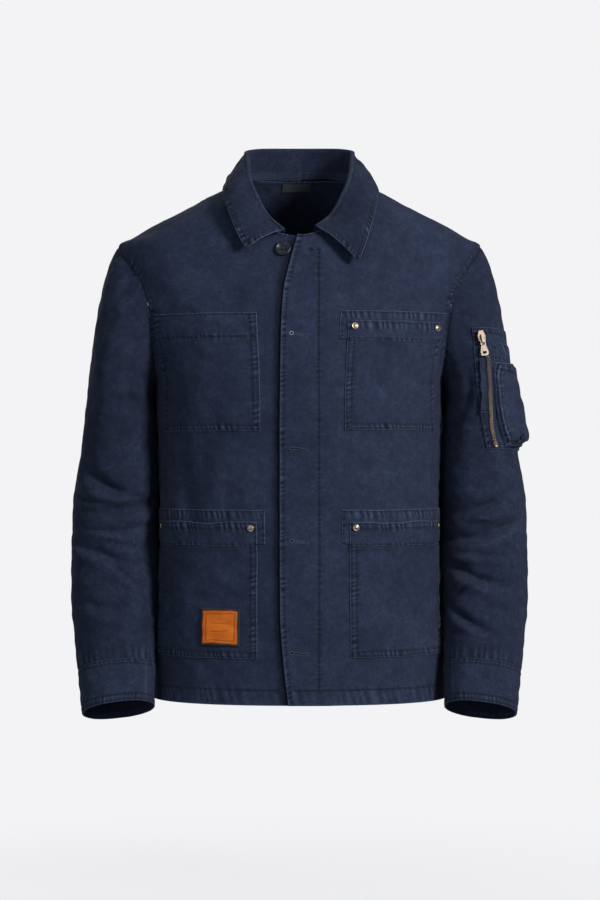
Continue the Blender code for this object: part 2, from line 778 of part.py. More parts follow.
def collar_cut(panels):
    """The whole collar's inner face. Its flat places count columns and rows. It clears the panels it lies on."""
    left = collar_half(COLLAR_LEFT, front_lift)
    right = [[Vector((-p.x, p.y, p.z)) for p in c] for c in collar_half(COLLAR_RIGHT, None)]
    columns = right + left[-2::-1]
    fall_start = len(columns[0]) - FALL_ROWS
    for settle in (0.3, 0.3, 0.2, 0.0):
        for column in columns:
            for k in range(fall_start, len(column)):
                column[k] = lift_clear(column[k], panels, CLOTH / 2 + COLLAR_CLEAR)
        for before, column, after in zip(columns, columns[1:], columns[2:]):
            for k in range(fall_start, len(column)):
                column[k] = column[k].lerp((before[k] + after[k]) / 2, settle)
    outs = outward(columns)
    flat = [[(i, j) for j in range(len(column))] for i, column in enumerate(columns)]
    inner = [[p - o * CLOTH / 2 for p, o in zip(line, out)] for line, out in zip(columns, outs)]
    return cut_grid(flat, inner, outs)


# ---------------------------------------------------------------- what lies on the panels

Pocket = namedtuple("Pocket", "inner outer_top outer_bottom top band bottom")
CHEST_POCKET_RIGHT = Pocket(0.0458, 0.1770, 0.1960, -0.1775, -0.2050, -0.3280)
CHEST_POCKET_LEFT = Pocket(0.0525, 0.1720, 0.1955, -0.1885, -0.2134, -0.3268)
HIP_POCKET_RIGHT = Pocket(0.0485, 0.2120, 0.2040, -0.4435, -0.4742, -0.6170)
HIP_POCKET_LEFT = Pocket(0.0580, 0.2130, 0.2050, -0.4433, -0.4742, -0.6158)
BACKING_RISE = 0.0155  # how far a backing shows above its pocket
BACKING_ASIDE = 0.0090  # and beside it, towards the middle
CHEST_BACKING_RISE = 0.0132
BAND_THICK = 0.0014
PATCH_CORNERS = (-0.1140, -0.5990, -0.0706, -0.5562)  # left, bottom, right, top on the right front's flat
PATCH_BORDER = 0.0026
LEATHER = 0.0016
RIVET_INSET = 0.0072
RIVET_RADIUS = 0.0044
RIVET_HEIGHT = 0.0018
BUTTON_PLACE = (-0.0163, -0.0961)
BUTTON_RADIUS = 0.0100
BUTTON_THICK = 0.0036
MOUTH = 0.0030  # how far a hip pocket's mouth stands open


def box_corners(left, bottom, right, top):
    return [(left, bottom), (right, bottom), (right, top), (left, top)]


def mouth_open(pocket, depth):
    """How far a pocket stands off its front: nothing at its sewn edges, most at the middle of its mouth."""

    def lift(across, height):
        middle = (pocket.inner + pocket.outer_top) / 2
        half = (pocket.outer_top - pocket.inner) / 2
        side = max(0.0, 1 - ((abs(across) - middle) / half) ** 2)
        return depth * side**1.5 * ease(pocket.top - 0.070, pocket.top, height)

    return lift


def pocket_corners(pocket, low, high, side):
    """The outline of a pocket's part between two heights, for the left front (side 1) or the right (-1)."""
    slope = (pocket.outer_top - pocket.outer_bottom) / (pocket.top - pocket.bottom)
    outer_low = pocket.outer_bottom + slope * (low - pocket.bottom)
    outer_high = pocket.outer_bottom + slope * (high - pocket.bottom)
    corners = [(pocket.inner, low), (outer_low, low), (outer_high, high), (pocket.inner, high)]
    return corners if side > 0 else [(-x, z) for x, z in corners[::-1]]


def point_at(cut, across, height):
    """The place and the way out at a flat place of a Cut."""
    at = Vector((across, height, 0))
    face = min(cut.mesh.faces, key=lambda f: (f.calc_center_median() - at).length)
    flat = [v.co for v in face.verts]
    place = barycentric_transform(at, *flat, *[v[cut.place] for v in face.verts])
    return place, sum((v[cut.out] for v in face.verts), Vector()).normalized()


def frame_at(cut, across, height, above, low=None, high=None):
    """A frame on a Cut, this far above the body. z is out, and y is up the cloth, or from low to high."""
    place, out = point_at(cut, across, height)
    low, high = low or (across, height), high or (across, height + 0.01)
    up = point_at(cut, *high)[0] - point_at(cut, *low)[0]
    up = (up - out * up.dot(out)).normalized()
    turned = Matrix((up.cross(out), up, out)).transposed().to_4x4()
    return Matrix.Translation(place + out * above) @ turned


def lathe(name, profile, material, frame, sides=14):
    """A solid turned from (radius, height) points, from the middle of its base to the middle of its top."""
    made = bmesh.new()
    rings = []
    for radius, height in profile:
        if radius == 0:
            rings.append([made.verts.new(frame @ Vector((0, 0, height)))])
            continue
        turns = steps_between(0, 2 * math.pi, sides)[:-1]
        rings.append(
            [
                made.verts.new(frame @ Vector((radius * math.cos(t), radius * math.sin(t), height)))
                for t in turns
            ]
        )
    for low, high in zip(rings, rings[1:]):
        for k in range(sides):
            corners = [low[k % len(low)], low[(k + 1) % len(low)]]
            corners += [high[(k + 1) % len(high)], high[k % len(high)]]
            made.faces.new(list(dict.fromkeys(corners)))
    return finish(name, made, material)


def rivet(name, material, cut, across, height, above):
    r, h = RIVET_RADIUS, RIVET_HEIGHT
    profile = [(0, 0), (r, 0), (r, 0.4 * h), (0.7 * r, 0.9 * h), (0, h)]
    return lathe(name, profile, material, frame_at(cut, across, height, above))


def make_pocket(name, side, cut, pocket, material, backing=None, depth=0.0):
    """A patch pocket below its band, the band, and the backing behind them where it has one."""
    mouth = mouth_open(pocket, depth)
    base = CLOTH + SEAM_GAP
    behind = backing["bottom"] if backing else None

    def low(across, height):
        over = ease(behind - 0.012, behind - 0.0005, height) if backing else 0.0
        return base + over * (PATCH + SEAM_GAP) + mouth(across, height)

    body = cut.trimmed(pocket_corners(pocket, pocket.bottom, pocket.band - SEAM_GAP / 2, side))
    for share in (0.5, 1.0) if backing else ():
        line = behind - 0.012 * share
        body.scored((-1, line), (1, line))
    wall(name, body, material, low, lambda a, h: low(a, h) + PATCH)
    band = cut.trimmed(pocket_corners(pocket, pocket.band + SEAM_GAP / 2, pocket.top, side))
    if backing:
        band_low = lambda a, h: base + PATCH + SEAM_GAP + mouth(a, h)
        wall(name.replace("pocket", "band"), band, material, band_low, lambda a, h: band_low(a, h) + BAND_THICK)
        corners = backing["corners"]
        corners = corners if side > 0 else [(-x, z) for x, z in corners[::-1]]
        wall(name.replace("pocket", "backing"), cut.trimmed(corners), material, base, base + PATCH)
    else:
        wall(name.replace("pocket", "band"), band, material, low, lambda a, h: low(a, h) + BAND_THICK)


def armhole_at(height):
    return armhole(math.acos((ARMHOLE_MIDDLE - height) / ARMHOLE_HALF_HEIGHT))


def hip_backing(pocket):
    left, bottom = pocket.inner - BACKING_ASIDE, pocket.band + 0.0030
    top, right = pocket.top + BACKING_RISE, 0.2500
    return {"corners": box_corners(left, bottom, right, top), "bottom": bottom}


def chest_backing(pocket):
    left, bottom = pocket.inner - BACKING_ASIDE, pocket.band + 0.0015
    top = pocket.top + CHEST_BACKING_RISE
    right_low, right_high = armhole_at(bottom)[0] - 0.006, armhole_at(top)[0] - 0.006
    return {"corners": [(left, bottom), (right_low, bottom), (right_high, top), (left, top)], "bottom": bottom}


# ---------------------------------------------------------------- the sleeve's zip pocket

ZIP_PATCH = ((0.0975, -0.0520), (0.2030, -0.0520), (0.2050, 0.0960), (0.1120, 0.0985))
ZIP_TAPE = ((0.1155, -0.0475), (0.1255, -0.0475), (0.1290, 0.0930), (0.1190, 0.0930))
ZIP_FLAP = ((0.1010, -0.0060), (0.1125, -0.0060), (0.1150, 0.0600), (0.1040, 0.0600))
PEN_POCKET = ((0.1400, -0.0450), (0.1930, -0.0450), (0.1930, 0.0550), (0.1400, 0.0550))
PEN_BAND = ((0.1390, 0.0585), (0.1940, 0.0585), (0.1940, 0.0790), (0.1390, 0.0790))
PEN_BULGE = 0.0115
SLIDER_PLACE = (0.1237, 0.0830)
ZIP_LINE = ((0.1210, -0.0300), (0.1240, 0.0900))  # its middle, low and high
SLIDER_LENGTH = 0.0170
SLIDER_WIDTH = 0.0100
SLIDER_THICK = 0.0030
BRIDGE_WIDTH = 0.0022
BRIDGE_THICK = 0.0011
BRIDGE_CLEAR = 0.0026  # under the bridge
HINGE_DOWN = 0.0048  # from the slider's middle to the tab's bar
HINGE_ABOVE = 0.0012  # the bar's middle above the slider
TAB_LENGTH = 0.0200
TAB_TOP_WIDTH = 0.0066
TAB_WIDTH = 0.0098
TAB_THICK = 0.0012
TAB_EYE = (0.0038, 0.0050)  # its width and its length
TAB_WINDOW = (0.0050, 0.0034)
TAB_BAR = 0.0012


def pen_bulge(across, height):
    """How far the pen pocket stands out: a box with round shoulders, open at the top."""
    left, bottom = PEN_POCKET[0]
    right = PEN_POCKET[1][0]
    aside = ease(left + 0.002, left + 0.016, across) * (1 - ease(right - 0.016, right - 0.002, across))
    return PEN_BULGE * aside * ease(bottom + 0.002, bottom + 0.018, height)


def scored_grid(cut, lefts, heights):
    for x in lefts:
        cut.scored((x, 1), (x, -1))
    for z in heights:
        cut.scored((-1, z), (1, z))
    return cut


def prism(name, loops, low, high, material, frame):
    """A plate with holes: flat closed loops, the outer one first, between two heights of a frame."""
    curve = bpy.data.curves.new(name, "CURVE")
    curve.dimensions = "2D"
    curve.fill_mode = "BOTH"
    curve.extrude = (high - low) / 2
    for loop in loops:
        spline = curve.splines.new("POLY")
        spline.points.add(len(loop) - 1)
        for point, (x, y) in zip(spline.points, loop):
            point.co = (x, y, 0, 1)
        spline.use_cyclic_u = True
    guide = bpy.data.objects.new(name, curve)
    data = bpy.data.meshes.new_from_object(guide)
    bpy.data.objects.remove(guide)
    made = bmesh.new()
    made.from_mesh(data)
    bmesh.ops.remove_doubles(made, verts=made.verts[:], dist=1e-6)
    bmesh.ops.triangulate(made, faces=made.faces[:])
    bmesh.ops.transform(made, matrix=frame @ Matrix.Translation((0, 0, (low + high) / 2)), verts=made.verts[:])
    return finish(name, made, material, smooth=False)


def zip_slider(material, frame):
    """The slider's wedge, with an arched bridge along it, as one body."""
    half_l, half_w, t = SLIDER_LENGTH / 2, SLIDER_WIDTH / 2, SLIDER_THICK
    outline = [(-0.7 * half_w, -half_l), (0.7 * half_w, -half_l), (half_w, 0.2 * half_l)]
    outline += [(0.55 * half_w, half_l), (-0.55 * half_w, half_l), (-half_w, 0.2 * half_l)]
    body = prism("zip_slider", [outline], 0, t, material, frame)
    lower, upper = -HINGE_DOWN - 0.0030, 0.45 * half_l
    top, inner = t + BRIDGE_CLEAR + BRIDGE_THICK, t + BRIDGE_CLEAR
    foot = t - 0.0005
    arch = [(lower, foot), (lower + 0.0015, foot), (lower + 0.0015, inner), (upper - 0.0015, inner)]
    arch += [(upper - 0.0015, foot), (upper, foot), (upper - 0.0006, top), (lower + 0.0006, top)]
    side = frame @ Matrix(((0, 0, 1, 0), (1, 0, 0, 0), (0, 1, 0, 0), (0, 0, 0, 1)))
    bridge = prism("bridge", [arch], -BRIDGE_WIDTH / 2, BRIDGE_WIDTH / 2, material, side)
    join = body.modifiers.new("bridge", "BOOLEAN")
    join.operation, join.solver, join.object = "UNION", "EXACT", bridge
    graph = bpy.context.evaluated_depsgraph_get()
    joined = bpy.data.meshes.new_from_object(body.evaluated_get(graph))
    body.modifiers.clear()
    body.data = joined
    bpy.data.objects.remove(bridge)
    return body


def zip_pull(material, frame):
    """The tab: a plate with an eye at its top, whose bar passes under the bridge, and a window near its end."""
    top, half = TAB_BAR / 2, TAB_TOP_WIDTH / 2
    low, wide = top - TAB_LENGTH, TAB_WIDTH / 2
    outline = [(-half, top), (-half, top - 0.0075), (-wide, low + 0.0060), (-wide, low + 0.0014)]
    outline += [(-wide + 0.0014, low), (wide - 0.0014, low), (wide, low + 0.0014), (wide, low + 0.0060)]
    outline += [(half, top - 0.0075), (half, top)]
    eye_w, eye_l = TAB_EYE
    eye = box_corners(-eye_w / 2, -TAB_BAR / 2 - eye_l, eye_w / 2, -TAB_BAR / 2)
    win_w, win_l = TAB_WINDOW
    window = box_corners(-win_w / 2, low + 0.0024, win_w / 2, low + 0.0024 + win_l)
    hinge = frame @ Matrix.Translation((0, -HINGE_DOWN, SLIDER_THICK + HINGE_ABOVE))
    return prism("zip_pull", [outline, eye, window], -TAB_THICK / 2, TAB_THICK / 2, material, hinge)


# ---------------------------------------------------------------- main


def clear_scene():
    for obj in list(bpy.data.objects):
        bpy.data.objects.remove(obj, do_unlink=True)


def make_zip_pocket(sleeve, navy, tape, brass):
    layer = CLOTH + SEAM_GAP
    patch = sleeve.trimmed(list(ZIP_PATCH))
    wall("sleeve_patch", patch, navy, layer, layer + PATCH)
    layer += PATCH + SEAM_GAP
    wall("zip_tape", sleeve.trimmed(list(ZIP_TAPE)), tape, layer, layer + PATCH)
    wall("zip_flap", sleeve.trimmed(list(ZIP_FLAP)), navy, layer, layer + PATCH)
    wall("pen_band", sleeve.trimmed(list(PEN_BAND)), navy, layer, layer + BAND_THICK)
    left, bottom = PEN_POCKET[0]
    right, top = PEN_POCKET[2]
    pen = scored_grid(
        sleeve.trimmed(list(PEN_POCKET)),
        [left + 0.003, left + 0.009, left + 0.016, right - 0.016, right - 0.009, right - 0.003],
        [bottom + 0.004, bottom + 0.017],
    )
    low = lambda a, h: layer + pen_bulge(a, h)
    wall("pen_pocket", pen, navy, low, lambda a, h: low(a, h) + PATCH)
    frame = frame_at(sleeve, *SLIDER_PLACE, layer + PATCH + SEAM_GAP + 0.0003, *ZIP_LINE)
    zip_slider(brass, frame)
    zip_pull(brass, frame)


def main():
    clear_scene()
    navy = cloth("navy_twill", (0.030, 0.042, 0.085))
    tape = cloth("navy_tape", (0.022, 0.028, 0.050))
    tan = cloth("tan_leather", (0.40, 0.11, 0.022), 0.55)
    dark = cloth("dark_binding", (0.012, 0.012, 0.018))
    horn = cloth("navy_button", (0.010, 0.013, 0.026), 0.35)
    brass = cloth("aged_brass", (0.52, 0.44, 0.33), 0.38, 1.0)

    left = front_cut(LEFT_FRONT_EDGE, 1, front_lift)
    right = front_cut(RIGHT_FRONT_EDGE, -1)
    back = back_cut()
    for name, cut in (("front_left", left), ("front_right", right), ("back", back)):
        wall(name, cut, navy, 0, CLOTH)

    flat, places = sleeve_grid(CAP_ROWS, ARM_ROWS, CUFF_START)
    sleeve_left = sleeve_cut(flat, places, ARM_CREASES_LEFT)
    wall("sleeve_left", sleeve_left, navy, 0, CLOTH)
    wall("sleeve_right", mirrored(sleeve_cut(flat, places, ARM_CREASES_RIGHT)), navy, 0, CLOTH)
    cuff = sleeve_cut(*cuff_grid(CUFF_ROWS))
    wall("cuff_left", cuff, navy, 0, CLOTH)
    wall("cuff_right", mirrored(cuff), navy, 0, CLOTH)

    collar = collar_cut([outer_face(cut, CLOTH) for cut in (left, right, back)])
    wall("collar", collar, navy, 0, CLOTH)
    columns = len(collar_shares()) * 2 - 1
    around = columns // 2 - NECK_BACK_POINTS, columns // 2 + NECK_BACK_POINTS
    stand = collar.trimmed(box_corners(around[0], 0.25, around[1], 1))
    wall("neck_tape", stand, tape, -SEAM_GAP - 0.0008, -SEAM_GAP)
    label = back.trimmed(box_corners(-0.0141, -0.0050, 0.0209, 0.0060))
    wall("neck_label", label, dark, -SEAM_GAP - 0.0008, -SEAM_GAP)

    make_pocket("chest_pocket_right", -1, right, CHEST_POCKET_RIGHT, navy)
    make_pocket("chest_pocket_left", 1, left, CHEST_POCKET_LEFT, navy, chest_backing(CHEST_POCKET_LEFT))
    make_pocket("hip_pocket_right", -1, right, HIP_POCKET_RIGHT, navy, hip_backing(HIP_POCKET_RIGHT), MOUTH)
    make_pocket("hip_pocket_left", 1, left, HIP_POCKET_LEFT, navy, hip_backing(HIP_POCKET_LEFT), MOUTH)

    on_band = CLOTH + PATCH + BAND_THICK + 3 * SEAM_GAP + 0.0002
    for name, side, cut, pocket in (
        ("chest_rivet", 1, left, CHEST_POCKET_LEFT),
        ("hip_rivet_right", -1, right, HIP_POCKET_RIGHT),
        ("hip_rivet_left", 1, left, HIP_POCKET_LEFT),
    ):
        height = pocket.top - RIVET_INSET
        inner, outer = pocket.inner + RIVET_INSET, pocket.outer_top - RIVET_INSET
        rivet(name + "_inner", brass, cut, side * inner, height, on_band + 0.0004)
        rivet(name + "_outer", brass, cut, side * outer, height, on_band + 0.0004)

    x0, z0, x1, z1 = PATCH_CORNERS
    b = PATCH_BORDER
    on_pocket = CLOTH + PATCH + 2 * SEAM_GAP
    border = right.trimmed(box_corners(x0 - b, z0 - b, x1 + b, z1 + b))
    wall("patch_border", border, dark, on_pocket, on_pocket + 0.0008)
    leather = right.trimmed(box_corners(x0, z0, x1, z1))
    wall("leather_patch", leather, tan, on_pocket + 0.0011, on_pocket + 0.0011 + LEATHER)

    r, t = BUTTON_RADIUS, BUTTON_THICK
    profile = [(0, 0), (0.55 * r, 0), (0.92 * r, 0.3 * t), (r, 0.6 * t), (0.94 * r, t), (0.72 * r, t)]
    profile += [(0.6 * r, 0.72 * t), (0, 0.72 * t)]
    frame = frame_at(right, *BUTTON_PLACE, CLOTH + SEAM_GAP + 0.0003)
    lathe("button_top", profile, horn, frame, sides=24)

    make_zip_pocket(sleeve_left, navy, tape, brass)


main()
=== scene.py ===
"""A garment-dyed cotton work jacket, worn shape with nobody in it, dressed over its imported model.

Metres, +Z up, the front faces -Y and the wearer's left is +X. A cloth piece is filled on the flat, on a plane
of "across" (along the cloth) and "height", and then laid on the body form with its folds, its turned edges,
the puckers along its seams and its stitches.
"""

import functools
import math
from collections import namedtuple

import bmesh
import bpy
import numpy as np
from mathutils import Matrix, Vector
from mathutils.bvhtree import BVHTree
from mathutils.geometry import delaunay_2d_cdt


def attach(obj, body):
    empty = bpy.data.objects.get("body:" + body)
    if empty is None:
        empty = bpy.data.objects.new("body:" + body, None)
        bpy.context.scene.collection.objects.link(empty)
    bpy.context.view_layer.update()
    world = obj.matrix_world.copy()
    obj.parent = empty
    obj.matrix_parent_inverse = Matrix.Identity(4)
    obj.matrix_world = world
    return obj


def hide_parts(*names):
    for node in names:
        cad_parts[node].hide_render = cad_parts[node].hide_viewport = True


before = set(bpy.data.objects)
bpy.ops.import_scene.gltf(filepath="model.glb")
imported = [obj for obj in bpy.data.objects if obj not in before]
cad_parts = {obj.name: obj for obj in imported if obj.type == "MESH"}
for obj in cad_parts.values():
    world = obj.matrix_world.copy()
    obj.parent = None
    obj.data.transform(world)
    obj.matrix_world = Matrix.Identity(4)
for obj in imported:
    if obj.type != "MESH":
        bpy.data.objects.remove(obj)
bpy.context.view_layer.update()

bl_info = {
    "name": "Work Jacket",
    "version": (1, 0, 0),
    "blender": (4, 5, 0),
    "location": "View3D > Sidebar > Jacket",
    "description": "Builds a cotton twill work jacket, its seams, pockets and hardware, and a studio for it",
    "category": "Add Mesh",
}

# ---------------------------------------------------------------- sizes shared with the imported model

CLOTH = 0.0020  # body cloth, with its turned seams
PATCH = 0.0012  # pocket and backing cloth
SEAM_GAP = 0.0003
LAP_LIFT = 0.0032  # the left front lies this far above the right one
ROUNDNESS = 2.3  # 2 is an ellipse, more is boxier

FORM_STEP = 1e-4  # for slopes of the body form
HEM = -0.676
ARMPIT = -0.272
SHOULDER_TIP = -0.0845
NECK_FRONT = -0.078
NECK_BACK = 0.0085
NECK_HALF_WIDTH = 0.0765
COLLAR_END = 0.0195

ARMHOLE_MIDDLE = (ARMPIT + SHOULDER_TIP) / 2
ARMHOLE_HALF_HEIGHT = (SHOULDER_TIP - ARMPIT) / 2
ARMHOLE_HALF_DEPTH = 0.072
CAP_STEP = 1 / 8  # the share of the sleeve cap over which it leaves the armhole

Level = namedtuple("Level", "height half_width front back")
BODY_LEVELS = (
    Level(-0.676, 0.1915, 0.130, 0.128),
    Level(-0.583, 0.1880, 0.129, 0.124),
    Level(-0.537, 0.1850, 0.128, 0.122),
    Level(-0.446, 0.1825, 0.128, 0.120),
    Level(-0.350, 0.1835, 0.131, 0.125),
    Level(-0.275, 0.1870, 0.134, 0.132),
    Level(-0.200, 0.2130, 0.129, 0.136),
    Level(-0.145, 0.2300, 0.119, 0.130),
    Level(-0.103, 0.2375, 0.107, 0.120),
    Level(-0.0845, 0.2350, 0.101, 0.114),
    Level(-0.076, 0.2190, 0.097, 0.110),
    Level(-0.040, 0.1515, 0.079, 0.093),
    Level(0.000, 0.0765, 0.052, 0.067),
    Level(0.012, 0.0540, 0.044, 0.058),
)

Edge = namedtuple("Edge", "height out")
LEFT_FRONT_EDGE = (
    Edge(-0.676, -0.0140),
    Edge(-0.620, -0.0205),
    Edge(-0.560, -0.0245),
    Edge(-0.350, -0.0250),
    Edge(-0.200, -0.0235),
    Edge(-0.150, -0.0205),
    Edge(-0.110, -0.0115),
    Edge(-0.076, -0.0020),
)
RIGHT_FRONT_EDGE = (Edge(-0.676, -0.0220), Edge(-0.076, -0.0220))

Ring = namedtuple("Ring", "run x y z half_width half_depth pitch roll")
SLEEVE_RINGS = (
    Ring(0.000, 0.2370, 0.004, -0.300, 0.0460, 0.0800, 2.0, 9.0),
    Ring(0.060, 0.2385, 0.008, -0.360, 0.0510, 0.0730, 0.0, 5.0),
    Ring(0.146, 0.2425, 0.006, -0.446, 0.0580, 0.0650, 8.0, 2.0),
    Ring(0.240, 0.2425, -0.018, -0.537, 0.0565, 0.0570, 17.0, 2.0),
    Ring(0.307, 0.2405, -0.042, -0.600, 0.0525, 0.0500, 20.0, 4.0),
    Ring(0.345, 0.2370, -0.055, -0.635, 0.0500, 0.0455, 21.0, 5.5),
    Ring(0.400, 0.2330, -0.074, -0.687, 0.0465, 0.0410, 21.0, 7.0),
)
CUFF_START = 0.345
CUFF_END = 0.400
ARM_GIRTH = 0.42  # round the sleeve, on the flat
INNER_FULL = 0.388  # across, where the sleeve's own fullness rests behind the body's side
SLEEVE_LENGTH = 0.565  # from the shoulder tip to the cuff, on the flat
SLEEVE_AREA = 0.178
CUFF_FLAT = (0.280, 0.055)
CUFF_SEAM = 0.047  # across, where the cuff's two ends meet
ZIP_POCKET_MIDDLE = (0.1237, 0.0700)

Crease = namedtuple("Crease", "across height length width depth lean")
BODY_CREASES = (
    Crease(0.150, -0.400, 0.080, 0.016, -0.0030, 8),
    Crease(0.105, -0.410, 0.070, 0.014, 0.0022, -12),
    Crease(0.085, -0.130, 0.045, 0.016, -0.0022, 35),
    Crease(-0.145, -0.400, 0.080, 0.015, -0.0030, -10),
    Crease(-0.100, -0.395, 0.070, 0.014, 0.0022, 14),
    Crease(-0.085, -0.135, 0.045, 0.016, -0.0022, -35),
    Crease(0.345, -0.400, 0.070, 0.022, -0.0035, 6),
    Crease(-0.350, -0.410, 0.075, 0.022, -0.0035, -8),
    Crease(0.450, -0.300, 0.090, 0.020, -0.0030, 15),
    Crease(-0.455, -0.290, 0.085, 0.020, -0.0030, -15),
    Crease(0.306, -0.520, 0.150, 0.024, 0.0060, 0),  # the back's fullness behind each sleeve
    Crease(-0.306, -0.520, 0.150, 0.024, 0.0060, 0),
    Crease(0.118, -0.365, 0.060, 0.010, 0.0014, 10),
    Crease(-0.200, -0.380, 0.070, 0.011, -0.0016, 4),
    Crease(-0.070, -0.300, 0.110, 0.012, 0.0012, -4),
    Crease(0.200, -0.360, 0.070, 0.011, -0.0016, -4),
    Crease(-0.120, -0.640, 0.030, 0.010, 0.0012, -20),
    Crease(0.110, -0.645, 0.030, 0.010, 0.0012, 20),
    Crease(0.180, -0.640, 0.028, 0.009, -0.0012, 10),
    Crease(0.170, -0.150, 0.050, 0.012, -0.0016, 50),
    Crease(-0.170, -0.150, 0.050, 0.012, -0.0016, -50),
)
ARM_CREASES_LEFT = (  # across is round the sleeve from the armpit, by way of the front; height is minus the run
    Crease(0.110, -0.130, 0.045, 0.013, -0.0060, 68),
    Crease(0.095, -0.176, 0.050, 0.012, -0.0055, 80),
    Crease(0.090, -0.236, 0.050, 0.012, -0.0060, 108),
    Crease(0.075, -0.296, 0.045, 0.011, -0.0050, 118),
    Crease(0.320, -0.150, 0.050, 0.015, -0.0045, 84),
    Crease(0.330, -0.215, 0.045, 0.013, -0.0040, 98),
)
ARM_CREASES_RIGHT = (
    Crease(0.120, -0.100, 0.048, 0.013, -0.0055, 62),
    Crease(0.085, -0.136, 0.060, 0.012, -0.0050, 98),
    Crease(0.110, -0.205, 0.050, 0.013, -0.0045, 70),
    Crease(0.120, -0.275, 0.045, 0.013, -0.0040, 78),
    Crease(0.325, -0.140, 0.050, 0.015, -0.0045, 94),
    Crease(0.335, -0.205, 0.045, 0.013, -0.0040, 82),
)

Leaving = namedtuple("Leaving", "angle x y z strength")
CAP_LEAVING = (
    Leaving(0.0, 0.30, 0.00, -0.95, 0.8),
    Leaving(0.6, 0.80, -0.35, -0.49, 0.9),
    Leaving(1.5, 0.86, -0.28, -0.43, 0.8),
    Leaving(2.3, 0.80, -0.22, -0.55, 0.6),
    Leaving(math.pi, 0.60, 0.00, -0.80, 0.5),
)
JOIN_GAP = 0.0005

Turn = namedtuple("Turn", "share fold_x fold_y fold_z leaf_x leaf_y leaf_z")
COLLAR_BACK = (
    Turn(0.870, 0.0470, 0.0420, 0.0500, 0.0640, 0.0700, -0.0020),
    Turn(1.000, 0.0000, 0.0540, 0.0515, 0.0000, 0.0830, 0.0010),
    Turn(1.130, -0.0470, 0.0420, 0.0500, -0.0640, 0.0700, -0.0020),
)
COLLAR_LEFT = (
    Turn(0.000, 0.0200, -0.1060, -0.0660, 0.0756, -0.1250, -0.1136),
    Turn(0.160, 0.0400, -0.0880, -0.0490, 0.0860, -0.1160, -0.0850),
    Turn(0.265, 0.0515, -0.0800, -0.0290, 0.0935, -0.1050, -0.0600),
    Turn(0.443, 0.0640, -0.0530, 0.0010, 0.1000, -0.0800, -0.0320),
    Turn(0.620, 0.0700, -0.0050, 0.0340, 0.1030, -0.0280, -0.0120),
    Turn(0.750, 0.0705, 0.0200, 0.0440, 0.0980, 0.0320, -0.0080),
    *COLLAR_BACK,
)
COLLAR_RIGHT = (
    Turn(0.000, 0.0190, -0.1030, -0.0700, 0.0680, -0.1200, -0.0964),
    Turn(0.160, 0.0405, -0.0865, -0.0490, 0.0790, -0.1120, -0.0770),
    Turn(0.265, 0.0530, -0.0785, -0.0265, 0.0870, -0.1030, -0.0570),
    Turn(0.443, 0.0640, -0.0530, 0.0010, 0.0960, -0.0790, -0.0320),
    Turn(0.620, 0.0685, -0.0050, 0.0340, 0.1000, -0.0280, -0.0120),
    Turn(0.750, 0.0705, 0.0200, 0.0440, 0.0970, 0.0320, -0.0080),
    *COLLAR_BACK,
)
COLLAR_SHOULDER = 0.62
ROLL_RADIUS = 0.0026
LEAF_BOW = 0.0045
TAPE_HEIGHT = 0.011
COLLAR_CLEAR = 0.0012
COLLAR_TIP = 0.0065  # rounding of the two points
LABEL = (-0.0141, -0.0040, 0.0209, 0.0058)  # left, bottom, right and top, on the back's flat
LABEL_THICK = 0.0008

# Distances from a sewn edge to its rows of stitches, and to the end of the cloth turned under it
EDGE_ROW = (0.0018,)
BAND_ROW = (0.0017,)
NECK_ROW = (0.0030,)
DOUBLE_ROWS, DOUBLE_TURN = (0.0018, 0.0078), 0.0086
POCKET_ROWS, POCKET_TURN = (0.0018, 0.0080), 0.0088
COLLAR_ROWS = (0.0022, 0.0068)
TURNED_THICK = 0.00025
ROW_SINK = 0.00035  # how deep a row of stitches lies in the cloth

Pocket = namedtuple("Pocket", "inner outer_top outer_bottom top band bottom")
CHEST_POCKET_RIGHT = Pocket(0.0458, 0.1770, 0.1960, -0.1775, -0.2050, -0.3280)
CHEST_POCKET_LEFT = Pocket(0.0525, 0.1720, 0.1955, -0.1885, -0.2134, -0.3268)
HIP_POCKET_RIGHT = Pocket(0.0485, 0.2120, 0.2040, -0.4435, -0.4742, -0.6170)
HIP_POCKET_LEFT = Pocket(0.0580, 0.2130, 0.2050, -0.4433, -0.4742, -0.6158)
BACKING_RISE = 0.0155
BACKING_ASIDE = 0.0090
CHEST_BACKING_RISE = 0.0132
BAND_THICK = 0.0014
BAND_SLACK = 0.6  # a band's share of its pocket's loose folds
MOUTH = 0.0030
PATCH_CORNERS = (-0.1140, -0.5990, -0.0706, -0.5562)
PATCH_BORDER = 0.0026
BORDER_THICK = 0.0012
LEATHER = 0.0016
TOOLED_INSET = 0.0042
TOOLED_RULES = (0.62, 0.38)  # shares of the patch's height
TOOLED_RULE_HALF = 0.0100
RIVET_INSET = 0.0072
RIVET_RADIUS = 0.0044
RIVET_HEIGHT = 0.0018
RIVET_PROFILE = (  # shares of its radius and height
    (1, 0.25), (0.985, 0.42), (0.93, 0.58), (0.84, 0.66), (0.74, 0.66), (0.66, 0.58),
    (0.60, 0.60), (0.46, 0.80), (0.28, 0.95), (0.12, 1), (0, 1),
)
BUTTON_PLACE = (-0.0163, -0.0961)
BUTTON_RADIUS = 0.0100
BUTTON_THICK = 0.0036
BUTTON_PROFILE = (  # shares of its radius and thickness
    (0, 0), (0.55, 0), (0.80, 0.12), (0.93, 0.32), (0.985, 0.50), (1, 0.64), (0.985, 0.80), (0.95, 0.92),
    (0.88, 1), (0.80, 0.99), (0.73, 0.90), (0.67, 0.74), (0.60, 0.68), (0.30, 0.66), (0, 0.66),
)

